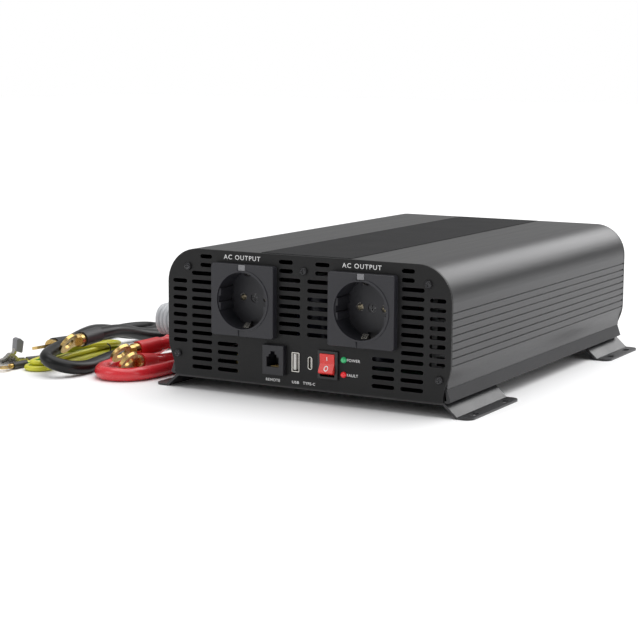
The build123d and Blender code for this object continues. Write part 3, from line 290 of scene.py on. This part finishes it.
LEAD_MM = 10.0
LAY = 5.1                  # height of a lead's centre where it lies on the table, in millimetres
LUG_Y = 169.5
RED_LONG = [
    (-114.385, LUG_Y, 51.615), (-130.2, LUG_Y, 35.8), (-143, 160, 15), (-147, 124, LAY), (-142, 68, LAY),
    (-144, 12, LAY), (-138, -44, LAY), (-139.5, -98, LAY), (-136.5, -146, LAY), (-143, -175, LAY),
    (-165, -182, LAY), (-181, -161, LAY), (-180, -125, LAY), (-183, -88, 7.5), (-181, -56, 17),
    (-166, -33, 21), (-146, -38, 21), (-147, -66, 20), (-158, -97, 18.4), (-164, -127, 17)]
RED_SHORT = [
    (-92.385, LUG_Y, 51.615), (-108.4, LUG_Y, 35.6), (-127, 169, 17), (-151, 172, LAY), (-164, 150, LAY),
    (-159, 104, LAY), (-162, 50, LAY), (-157, -4, LAY), (-160, -54, LAY), (-156.5, -94, LAY), (-158, -120, 6),
    (-155, -142, 9.5)]
red_pvc = finish(
    "red_pvc", (0.66, 0.022, 0.032), 0.26, coat=0.35, mottle=0.10, mottle_scale=60.0,
    spread=0.10, grain_scale=1500.0, depth=0.10)
RED_LEADS = (("battery_lead_red_long", "red_cable_long", RED_LONG, 0.65),
             ("battery_lead_red_short", "red_cable_short", RED_SHORT, 0.385))
for name, node, route, length in RED_LEADS:
    lead = lay_cord(name, route, LEAD_MM, red_pvc)
    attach(lead, "case")
    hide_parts(node)

# ---- Black battery leads ----
# The same cable in black PVC, from the two black studs, outside the red pair. The long one turns
# back over the earth lead's hank and then once more at the far left.
BLACK_LONG = [
    (-62.385, LUG_Y, 51.615), (-78.6, LUG_Y, 35.4), (-98, 171, 17), (-124, 181, LAY), (-160, 190, LAY),
    (-192, 177, LAY), (-208, 140, LAY), (-203, 84, LAY), (-206.5, 26, LAY), (-201, -30, LAY),
    (-205, -76, LAY), (-203, -112, LAY), (-195, -146, LAY), (-190.5, -168, LAY), (-194, -187, 8),
    (-210, -191, 13), (-221, -172, 14.4), (-229, -142, 15.4), (-237, -108, 18.4), (-246, -78, 17),
    (-249, -52, 12), (-246, -26, 6.5), (-243, -3, LAY), (-251, 16, LAY), (-269, 14, LAY),
    (-276, -14, LAY), (-269, -52, LAY), (-267, -82, 5.6), (-263, -106, 7.5)]
BLACK_SHORT = [
    (-40.385, LUG_Y, 51.615), (-56.6, LUG_Y, 35.4), (-76, 173, 17), (-101, 187, LAY), (-138, 203, LAY),
    (-180, 206, LAY), (-213, 190, LAY), (-228, 150, LAY), (-221, 92, LAY), (-225.5, 36, LAY),
    (-219, -14, LAY), (-222, -50, 11), (-217, -84, 20), (-213, -112, 22.5), (-212.5, -134, 21.5)]
black_pvc = finish(
    "black_pvc", (0.0030, 0.0031, 0.0034), 0.34, sheen_level=0.30, mottle=0.25, mottle_scale=60.0,
    spread=0.12, grain_scale=1500.0, depth=0.12)
BLACK_LEADS = (("battery_lead_black_long", "black_cable_long", BLACK_LONG, 0.85),
               ("battery_lead_black_short", "black_cable_short", BLACK_SHORT, 0.52))
for name, node, route, length in BLACK_LEADS:
    lead = lay_cord(name, route, LEAD_MM, black_pvc)
    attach(lead, "case")
    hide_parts(node)

# ---- Earth lead ----
# A thin yellow lead with a green stripe, about 0.9 m long. It is folded into a flat hank, with a
# small ring lug on one end and a spring clip on the other, and lies loose beside the black leads.
EARTH_MM = 4.0
EARTH_LAY = 2.75
HANK_FRONT, HANK_REAR = Vector((-232.0, -170.0)), Vector((-236.5, -78.0))
hank_along = (HANK_REAR - HANK_FRONT).normalized()
hank_across = Vector((hank_along.y, -hank_along.x))
END_STEPS = 6              # spans between the control points round each end of a loop


def hank_loop(radius, height):
    """One turn: up the left side, round the rear end, back down the right and round the front."""
    points = []
    for centre, first in ((HANK_REAR, 0), (HANK_FRONT, END_STEPS)):
        for step in range(END_STEPS + 1):
            turn = pi * (first + step) / END_STEPS
            spot = centre - hank_across * (radius * cos(turn)) + hank_along * (radius * sin(turn))
            points.append((spot.x, spot.y, height))
    return points


EARTH_ROUTE = [(-249.1, -180.0, EARTH_LAY), (-247.1, -160.1, EARTH_LAY), (-243.5, -146.0, EARTH_LAY)]
for radius, height in ((9.4, 2.2), (5.2, 2.2), (5.2, 6.1)):
    EARTH_ROUTE += hank_loop(radius, height)
EARTH_ROUTE += [(-241.5, -146.0, 6.1), (-243.5, -112.0, 6.2), (-244.5, -84.0, 6.2), (-242.5, -70.0, 6.2),
                (-235.0, -67.5, 6.2), (-228.0, -72.0, 6.4), (-226.8, -86.0, 7.8), (-230.0, -102.0, 10.0),
                (-238.0, -118.0, 8.4), (-244.5, -130.0, 4.4), (-247.4, -137.5, EARTH_LAY),
                (-255.963, -154.927, EARTH_LAY)]
earth_pvc = finish("earth_pvc", (0.62, 0.60, 0.03), 0.32, coat=0.25, mottle=0.10, mottle_scale=80.0,
                   spread=0.10, grain_scale=1500.0, depth=0.08)
tree = earth_pvc.node_tree
stripe_place = tree.nodes.new("ShaderNodeUVMap")
stripe_split = tree.nodes.new("ShaderNodeSeparateXYZ")
tree.links.new(stripe_place.outputs["UV"], stripe_split.inputs[0])
stripe = tree.nodes.new("ShaderNodeMath")
stripe.operation = "COMPARE"
stripe.inputs[1].default_value = 0.5
stripe.inputs[2].default_value = 0.17
tree.links.new(stripe_split.outputs["Y"], stripe.inputs[0])
striped = tree.nodes.new("ShaderNodeMix")
striped.data_type = "RGBA"
striped.inputs["B"].default_value = (0.10, 0.42, 0.05, 1)
tree.links.new(stripe.outputs[0], striped.inputs["Factor"])
earth_shader = tree.nodes["Principled BSDF"]
tree.links.new(earth_shader.inputs["Base Color"].links[0].from_socket, striped.inputs["A"])
tree.links.new(striped.outputs["Result"], earth_shader.inputs["Base Color"])
earth_lead = lay_cord("earth_lead", EARTH_ROUTE, EARTH_MM, earth_pvc, smooth=8)
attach(earth_lead, "case")
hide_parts("earth_lead_hank", "earth_lead_tails")

# ---- Remote control cord ----
# A light grey cord with a clear modular plug on each end. Its turns stand on edge beside the case,
# on top of the red leads, and a twisted wire tie holds them.
REMOTE_MM = 4.0
TURNS = 7                  # whole turns, with half a turn more at the front
SLACK, SLACK_RATE = 0.03, 2.3          # how much the turns differ in size, and how it varies
loop_low, loop_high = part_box("remote_cord_hank")
loop_low, loop_high = [v * 1000 for v in loop_low], [v * 1000 for v in loop_high]
loop_r = (loop_high[2] - loop_low[2]) / 2 - REMOTE_MM / 2
loop_mid_z = (loop_high[2] + loop_low[2]) / 2
loop_front = loop_low[1] + loop_r + REMOTE_MM / 2
loop_rear = loop_high[1] - loop_r - REMOTE_MM / 2
loop_pitch = (loop_high[0] - loop_low[0] - REMOTE_MM) / (TURNS + 0.5)
plug_low, plug_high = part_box("remote_cord_plugs")
PLUG_XS = (plug_high[0] * 1000 - 4.8, plug_low[0] * 1000 + 4.8)
plug_back = plug_low[1] * 1000
remote_route = [
    (PLUG_XS[0], plug_back - 0.3, loop_mid_z + 0.5), (PLUG_XS[0], plug_back - 14, loop_mid_z - 1),
    (PLUG_XS[0] + 2, plug_back - 32, loop_mid_z - 6)]
for step in range((2 * TURNS + 1) * (END_STEPS + 1)):
    half, part = divmod(step, END_STEPS + 1)
    angle = pi * part / END_STEPS
    at_front = half % 2 == 0
    side = -1 if at_front else 1
    loose = 1 - SLACK * (1 + sin(SLACK_RATE * half))
    remote_route.append((
        loop_high[0] - REMOTE_MM / 2 - loop_pitch * step / (2 * END_STEPS + 2),
        (loop_front if at_front else loop_rear) + side * loop_r * loose * sin(angle),
        loop_mid_z + side * loop_r * loose * cos(angle)))
remote_route += [
    (PLUG_XS[1] - 5, plug_back - 70, loop_mid_z + 9), (PLUG_XS[1] - 3, plug_back - 44, loop_mid_z + 6),
    (PLUG_XS[1], plug_back - 20, loop_mid_z + 1.5), (PLUG_XS[1], plug_back - 0.3, loop_mid_z + 0.5)]
grey_pvc = finish("grey_pvc", (0.46, 0.47, 0.49), 0.34, coat=0.15, mottle=0.08, mottle_scale=60.0,
                  grain_scale=1400.0, depth=0.10)
remote_cord = lay_cord("remote_cord", remote_route, REMOTE_MM, grey_pvc, smooth=8)
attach(remote_cord, "case")
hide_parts("remote_cord_hank")
clear_plug = finish("clear_plug", (0.72, 0.75, 0.77), 0.16, coat=0.5, mottle=0.06)
coat_nodes(clear_plug, "remote_cord_plugs")


# ---- Twist ties ----
# Short lengths of soft wire in black plastic. One is wound round the remote cord, the other round
# the rear of the earth hank, and each pair of ends is twisted together.
BAND_THIN = 0.1            # tube radius of the unit ring that a band starts as
TAIL_STEPS = 24            # spans along a twisted tail, eight to a turn


def twist_tie(name, centre, width, height, wire, tail):
    """A rounded loop of wire in the XZ plane with its two ends twisted together beside it."""
    bpy.ops.object.select_all(action="DESELECT")
    bpy.ops.mesh.primitive_torus_add(
        major_radius=1.0, minor_radius=BAND_THIN, major_segments=48, minor_segments=8,
        location=(0, 0, 0), rotation=(pi / 2, 0, 0))
    band = bpy.context.object
    bpy.ops.object.transform_apply(location=False, rotation=True, scale=False)
    for vertex in band.data.vertices:
        x, y, z = vertex.co
        reach = (x * x + z * z) ** 0.5
        ring_x, ring_z = x / reach, z / reach
        squarer = (ring_x ** 4 + ring_z ** 4) ** -0.25
        thick = wire / BAND_THIN
        vertex.co = (
            ring_x * (squarer * width / 2 + (reach - 1) * thick),
            y * thick,
            ring_z * (squarer * height / 2 + (reach - 1) * thick))
    parts = [band]
    for strand in (0, 1):
        points = []
        for step in range(TAIL_STEPS + 1):
            turn = pi * strand + step * pi / 4
            along = -width / 2 - wire * 0.6 - tail * step / TAIL_STEPS
            points.append((along, wire * cos(turn), wire * sin(turn)))
        curve = bpy.data.curves.new(name + "_strand", "CURVE")
        curve.dimensions = "3D"
        spline = curve.splines.new("NURBS")
        spline.points.add(len(points) - 1)
        for point, place in zip(spline.points, points):
            point.co = (*place, 1.0)
        spline.order_u = 3
        spline.use_endpoint_u = True
        curve.bevel_depth = wire * 0.9
        curve.bevel_resolution = 3
        curve.use_fill_caps = True
        strand_piece = bpy.data.objects.new(name + "_strand", curve)
        bpy.context.collection.objects.link(strand_piece)
        parts.append(strand_piece)
    bpy.ops.object.select_all(action="DESELECT")
    for part in parts:
        part.select_set(True)
    bpy.context.view_layer.objects.active = band
    bpy.ops.object.convert(target="MESH")
    bpy.ops.object.join()
    tie = bpy.context.object
    tie.name = name
    tie.location = centre
    bpy.ops.object.transform_apply(location=True, rotation=True, scale=True)
    bpy.ops.object.shade_smooth()
    return tie


tie_black = finish("tie_black", (0.012, 0.012, 0.013), 0.38, mottle=0.2, grain_scale=2000.0)
remote_tie = twist_tie(
    "remote_cord_tie", ((loop_low[0] + loop_high[0]) / 2000, -0.096, loop_mid_z / 1000),
    (loop_high[0] - loop_low[0] + 0.4) / 1000, (loop_high[2] - loop_low[2] + 0.4) / 1000, 0.0009, 0.012)
remote_tie.data.materials.append(tie_black)
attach(remote_tie, "case")
earth_tie = twist_tie("earth_lead_tie", (-0.2358, -0.0920, 0.0052), 0.0252, 0.0090, 0.0005, 0.007)
earth_tie.data.materials.append(tie_black)
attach(earth_tie, "case")

# ---- Sleeves, ring lugs and spring clip on the leads ----
# Heat-shrink tube covers each crimp. The lugs are pressed from brass tube, and the clip is folded
# from nickel-plated steel strip with a moulded grip on its lever.
sleeve_red = finish("sleeve_red", (0.60, 0.016, 0.022), 0.42, mottle=0.15, mottle_scale=120.0, depth=0.3)
sleeve_black = finish("sleeve_black", (0.022, 0.022, 0.024), 0.45, mottle=0.25, mottle_scale=120.0, depth=0.3)
# The lugs and the clip get lightened edges: partly wear, partly painted highlight.
lug_brass = finish(
    "lug_brass", (0.58, 0.40, 0.15), 0.26, metal=1.0, mottle=0.35, mottle_scale=90.0, spread=0.25,
    grain_scale=1400.0, depth=0.18, worn_lit_colour=(0.92, 0.78, 0.46), worn_and_lit=0.8, edge_width=0.0005)
clip_nickel = finish(
    "clip_nickel", (0.62, 0.60, 0.56), 0.28, metal=1.0, mottle=0.3, mottle_scale=120.0, spread=0.2,
    depth=0.15, worn_lit_colour=(0.88, 0.86, 0.82), edge_width=0.0003)
clip_grip = finish(
    "clip_grip", (0.17, 0.17, 0.18), 0.5, mottle=0.15, mottle_scale=200.0, grain_scale=1600.0, depth=0.4)
coat_nodes(sleeve_red, "red_sleeves")
coat_nodes(sleeve_black, "black_sleeves", "earth_sleeves")
coat_nodes(lug_brass, "free_ring_lugs", "rear_ring_lugs", "earth_ring_lug")
coat_nodes(clip_nickel, "clip_base", "clip_lever", "clip_pin", "clip_spring")
coat_nodes(clip_grip, "clip_handle_cover")

# ---- Cover ----
# One aluminium extrusion, anodised dark grey. Fine ribs run along its top, grooves along its sides,
# and the drawing of the die leaves faint lines from front to back.
# Its edges are lightened, partly as wear and partly as painted highlight.
cover_anodised = finish(
    "cover_anodised", (0.062, 0.062, 0.064), 0.38, metal=0.85, mottle=0.30, mottle_scale=260.0, spread=0.10,
    grain_scale=2600.0, depth=0.22, stretch=(1.0, 0.015, 1.0), worn_lit_colour=(0.30, 0.30, 0.31), worn_and_lit=0.35,
    edge_width=0.0004)
coat_nodes(cover_anodised, "top_cover")
strip_black = finish(
    "strip_black", (0.006, 0.006, 0.007), 0.62, mottle=0.3, mottle_scale=40.0, spread=0.1, grain_scale=1800.0,
    depth=0.2, sheen_level=0.15)
coat_nodes(strip_black, "top_label")

# ---- Base tray and feet ----
# Folded sheet steel with a satin black stoving paint. The feet are strips with slotted flanges. Their folds
# and hole edges are painted lighter, partly as metal showing through worn paint and partly as painted
# highlight.
steel_paint = finish(
    "steel_paint", (0.018, 0.018, 0.020), 0.36, mottle=0.25, mottle_scale=45.0, spread=0.14,
    grain_scale=1100.0, depth=0.25, worn_lit_colour=(0.16, 0.16, 0.17), worn_and_lit=0.5, edge_width=0.0007)
coat_nodes(steel_paint, "base_tray", "front_bracket", "rear_bracket")

# ---- Front and rear panels ----
# Sheet steel, punched with ventilation slots and powder coated in fine black texture. Screws hold
# both panels to bosses inside the cover.
# The panel edges are lightened, partly as wear and partly as painted highlight.
powder_coat = finish(
    "powder_coat", (0.0050, 0.0050, 0.0053), 0.50, mottle=0.30, mottle_scale=60.0, spread=0.10,
    grain_scale=1500.0, depth=0.55, worn_lit_colour=(0.07, 0.07, 0.075), worn_and_lit=0.55, edge_width=0.0006, sheen_level=0.32)
coat_nodes(powder_coat, "front_panel", "rear_panel")

# ---- Screws ----
# Black cross-head machine screws in the panels, and the same in the feet and the fans. The edges of
# their heads are painted lighter, partly as polish from turning them and partly as painted highlight.
screw_black = finish(
    "screw_black", (0.035, 0.035, 0.037), 0.30, metal=0.8, mottle=0.3, mottle_scale=300.0, spread=0.2,
    grain_scale=2200.0, depth=0.2, worn_lit_colour=(0.45, 0.45, 0.46), worn_and_lit=0.7, edge_width=0.0004)
coat_nodes(screw_black, "panel_screws", "base_screws", "fan_screws")


# ---- Lettering ----
# White screen-printed words, a few hundredths of a millimetre thick, on the front panel. Each says
# what the socket, port or lamp beside it is for.
PRINT_THICK = 0.00004
STEM = 0.01                # half the depth of the letters before they are sized


def printed(name, words, left, right, middle_z, tall, spread, face_y):
    """Words between two X limits, upright on a face that looks towards -Y. Spread widens the gaps."""
    bpy.ops.object.select_all(action="DESELECT")
    bpy.ops.object.text_add(location=(0, 0, 0))
    letters = bpy.context.object
    letters.data.body = words
    letters.data.align_x = "CENTER"
    letters.data.align_y = "CENTER"
    letters.data.space_character = spread
    letters.data.offset = 0.008
    letters.data.extrude = STEM
    bpy.ops.object.convert(target="MESH")
    letters = bpy.context.object
    letters.name = name
    xs = [v.co.x for v in letters.data.vertices]
    ys = [v.co.y for v in letters.data.vertices]
    wide = (right - left) / (max(xs) - min(xs))
    high = tall / (max(ys) - min(ys))
    mid_x, mid_y = (max(xs) + min(xs)) / 2, (max(ys) + min(ys)) / 2
    for vertex in letters.data.vertices:
        x, y, z = vertex.co
        vertex.co = ((left + right) / 2 + (x - mid_x) * wide,
                     face_y - (z + STEM) / (2 * STEM) * PRINT_THICK,
                     middle_z + (y - mid_y) * high)
    letters.data.materials.append(print_white)
    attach(letters, "case")


print_white = finish(
    "print_white", (0.80, 0.80, 0.80), 0.55, mottle=0.10, mottle_scale=400.0, grain_scale=2500.0)
panel_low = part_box("front_panel")[0]
panel_face = panel_low[1]
panel_foot = panel_low[2]
# name, words, left and right edges, height above the panel's foot, letter height, spacing
WORDS = (
    ("print_output_left", "AC OUTPUT", -0.0640, -0.0345, 0.0863, 0.0032, 1.2),
    ("print_output_right", "AC OUTPUT", 0.0295, 0.0590, 0.0863, 0.0032, 1.2),
    ("print_remote", "REMOTE", -0.0297, -0.0185, 0.0034, 0.0019, 1.1),
    ("print_usb", "USB", -0.0089, -0.0034, 0.0034, 0.0019, 1.1),
    ("print_usb_c", "TYPE-C", -0.0002, 0.0092, 0.0034, 0.0019, 1.1),
    ("print_power", "POWER", 0.0337, 0.0436, 0.0223, 0.0019, 1.1),
    ("print_fault", "FAULT", 0.0338, 0.0422, 0.0121, 0.0019, 1.1),
)
for name, words, left, right, height, tall, spread in WORDS:
    printed(name, words, left, right, panel_foot + height, tall, spread, panel_face)

# ---- Mains sockets ----
# Slate grey mouldings with a round recess. Spring strips at the top and bottom of each recess
# make the earth contact, and a light tab shows in the notch above it.
# The mouldings' edges are lightened, partly as wear and partly as painted highlight.
socket_grey = finish(
    "socket_grey", (0.0155, 0.0155, 0.020), 0.46, mottle=0.18, mottle_scale=50.0, spread=0.08,
    grain_scale=1400.0, depth=0.35, worn_lit_colour=(0.06, 0.06, 0.07), worn_and_lit=0.4, edge_width=0.0005)
coat_nodes(socket_grey, "socket_left_body", "socket_right_body")
spring_strip = finish(
    "spring_strip", (0.78, 0.75, 0.68), 0.22, metal=1.0, mottle=0.2, mottle_scale=200.0, spread=0.15,
    depth=0.1)
coat_nodes(spring_strip, "socket_earth_clips", "socket_contacts")
coat_nodes(screw_black, "socket_screws")
tab_grey = finish("tab_grey", (0.20, 0.20, 0.21), 0.40, mottle=0.15, mottle_scale=300.0, depth=0.2)
TAB_SIZE = (0.0054, 0.0007, 0.0040)
TAB_RISE = 0.0228          # tab centre above the middle of its socket
RIM_PROUD = 0.0005         # recess rim in front of the socket's face
for side in ("left", "right"):
    low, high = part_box(f"socket_{side}_body")
    mid_x, face_y, mid_z = (low[0] + high[0]) / 2, low[1] + RIM_PROUD, (low[2] + high[2]) / 2
    bpy.ops.object.select_all(action="DESELECT")
    bpy.ops.mesh.primitive_cube_add(size=1.0, location=(mid_x, face_y + 0.0003, mid_z + TAB_RISE))
    tab = bpy.context.object
    tab.name = f"socket_{side}_tab"
    tab.scale = TAB_SIZE
    bpy.ops.object.transform_apply(location=True, rotation=True, scale=True)
    bevel = tab.modifiers.new("soft_edges", "BEVEL")
    bevel.width = 0.00025
    bevel.segments = 3
    bpy.ops.object.modifier_apply(modifier=bevel.name)
    tab.data.materials.append(tab_grey)
    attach(tab, "case")

# ---- Power switch ----
# A black bezel set in the panel holds a red rocker. The rocker's upper half carries a white bar for
# on, and its lower half a white ring for off.
switch_black = finish("switch_black", (0.010, 0.010, 0.011), 0.35, mottle=0.15, depth=0.2)
coat_nodes(switch_black, "switch_housing")
rocker_red = finish(
    "rocker_red", (0.72, 0.030, 0.025), 0.28, coat=0.2, mottle=0.08, mottle_scale=150.0, grain_scale=1800.0,
    depth=0.12)
coat_nodes(rocker_red, "switch_rocker")
switch_joint = [j for j in frame["joints"] if j["name"] == "power_switch"][0]
REST_TURN = radians(-11.0)
FACE_LEAN = 0.2378         # lean of each half of the rocker's face, in radians
MARK_OUT, MARK_UP = 0.0064, 0.0033     # a mark's centre from the pivot
rocker_turn = Matrix.Translation(switch_joint["pos_m"]) @ Matrix.Rotation(REST_TURN, 4, "X")
for name, up in (("rocker_bar", 1), ("rocker_ring", -1)):
    bpy.ops.object.select_all(action="DESELECT")
    if up > 0:
        bpy.ops.mesh.primitive_cube_add(size=1.0)
        bpy.context.object.scale = (0.0005, 0.0026, 0.00012)
    else:
        bpy.ops.mesh.primitive_torus_add(
            major_radius=0.00135, minor_radius=0.00028, major_segments=40, minor_segments=8)
        bpy.context.object.scale = (1.0, 1.25, 0.25)
    mark = bpy.context.object
    mark.name = name
    bpy.ops.object.transform_apply(location=True, rotation=True, scale=True)
    if up > 0:
        bevel = mark.modifiers.new("soft_edges", "BEVEL")
        bevel.width = 0.00004
        bevel.segments = 2
        bpy.ops.object.modifier_apply(modifier=bevel.name)
    half_way = Matrix.Translation((0, -MARK_OUT, up * MARK_UP))
    mark.data.transform(rocker_turn @ half_way @ Matrix.Rotation(pi / 2 + up * FACE_LEAN, 4, "X"))
    mark.data.materials.append(print_white)
    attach(mark, "rocker")

# ---- Remote socket and charging ports ----
# A black modular socket with six gold-plated wires, and two plated port shells stood upright.
# They open through cut-outs in the front panel.
coat_nodes(finish("jack_black", (0.012, 0.012, 0.015), 0.40, mottle=0.2, depth=0.25), "remote_jack")
coat_nodes(finish("gold_wire", (0.85, 0.62, 0.25), 0.2, metal=1.0, mottle=0.1), "remote_contacts")
port_plate = finish(
    "port_plate", (0.62, 0.60, 0.56), 0.22, metal=1.0, mottle=0.2, mottle_scale=300.0, spread=0.15,
    depth=0.1)
coat_nodes(port_plate, "usb_a_shell", "usb_c_shell")
coat_nodes(finish("port_tongue", (0.66, 0.65, 0.62), 0.45, mottle=0.08), "usb_tongues")

# ---- Indicator lamps ----
# Two domed lenses of tinted plastic, pushed through the panel, green for power and red for a fault.
# Each has a little glow of its own.
LENSES = (("lens_green", "led_green", (0.03, 0.36, 0.13)), ("lens_red", "led_red", (0.62, 0.01, 0.015)))
for name, node, colour in LENSES:
    lens = finish(name, colour, 0.15, coat=0.6, mottle=0.1, mottle_scale=400.0, depth=0.05)
    lens_shader = lens.node_tree.nodes["Principled BSDF"]
    lens_shader.inputs["Emission Color"].default_value = (*colour, 1)
    lens_shader.inputs["Emission Strength"].default_value = 0.35
    coat_nodes(lens, node)

# ---- Board, transformers, capacitors and heat sinks ----
# The power stage on its green board, seen only through the slots and past the fans. The board stands
# on brass pillars, and the transistors stand against the two heat sinks.
coat_nodes(
    finish("board_green", (0.015, 0.12, 0.05), 0.35, coat=0.3, mottle=0.3, mottle_scale=90.0),
    "main_board")
coat_nodes(finish("standoff_brass", (0.70, 0.52, 0.22), 0.3, metal=1.0, mottle=0.2), "board_standoffs")
coat_nodes(finish("ferrite", (0.035, 0.035, 0.038), 0.6, mottle=0.3, depth=0.5), "transformer_cores")
coat_nodes(
    finish("winding_copper", (0.55, 0.20, 0.07), 0.3, metal=0.9, mottle=0.3, depth=0.5,
           stretch=(1.0, 1.0, 12.0)),
    "transformer_windings")
coat_nodes(finish("capacitor_sleeve", (0.015, 0.018, 0.045), 0.3, coat=0.3, mottle=0.15), "capacitors")
coat_nodes(
    finish("sink_aluminium", (0.30, 0.30, 0.31), 0.4, metal=1.0, mottle=0.2, depth=0.3,
           stretch=(1.0, 0.03, 1.0)),
    "heat_sinks")
coat_nodes(finish("transistor_black", (0.012, 0.012, 0.013), 0.45, mottle=0.2), "transistors")

# ---- Fans ----
# Two black moulded fans, each screwed to the rear panel by its corners behind a guard of bright
# wire.
fan_black = finish("fan_black", (0.012, 0.012, 0.013), 0.38, mottle=0.2, mottle_scale=80.0, depth=0.25)
coat_nodes(fan_black, "fan_frames", "fan_left_rotor", "fan_right_rotor")
guard_wire = finish(
    "guard_wire", (0.66, 0.66, 0.67), 0.18, metal=1.0, mottle=0.15, mottle_scale=300.0, spread=0.15,
    depth=0.08)
coat_nodes(guard_wire, "fan_guards")

# ---- Battery and earth terminals ----
# Moulded blocks, red and black, carry brass studs. Zinc-plated flange nuts clamp the leads' lugs.
coat_nodes(finish("block_red", (0.50, 0.015, 0.015), 0.38, mottle=0.12, mottle_scale=90.0, depth=0.3),
           "terminal_block_red")
coat_nodes(finish("block_black", (0.014, 0.014, 0.015), 0.4, mottle=0.2, mottle_scale=90.0, depth=0.3),
           "terminal_block_black")
coat_nodes(
    finish("stud_brass", (0.74, 0.55, 0.24), 0.25, metal=1.0, mottle=0.2, grain_scale=1200.0, depth=0.5,
           stretch=(0.1, 1.0, 0.1)),
    "terminal_studs")
# The plated edges are lightened, partly as wear and partly as painted highlight.
zinc_plate = finish(
    "zinc_plate", (0.60, 0.61, 0.60), 0.3, metal=1.0, mottle=0.3, mottle_scale=200.0, spread=0.2,
    depth=0.15, worn_lit_colour=(0.85, 0.85, 0.84), edge_width=0.0004)
coat_nodes(zinc_plate, "terminal_nuts", "earth_terminal")
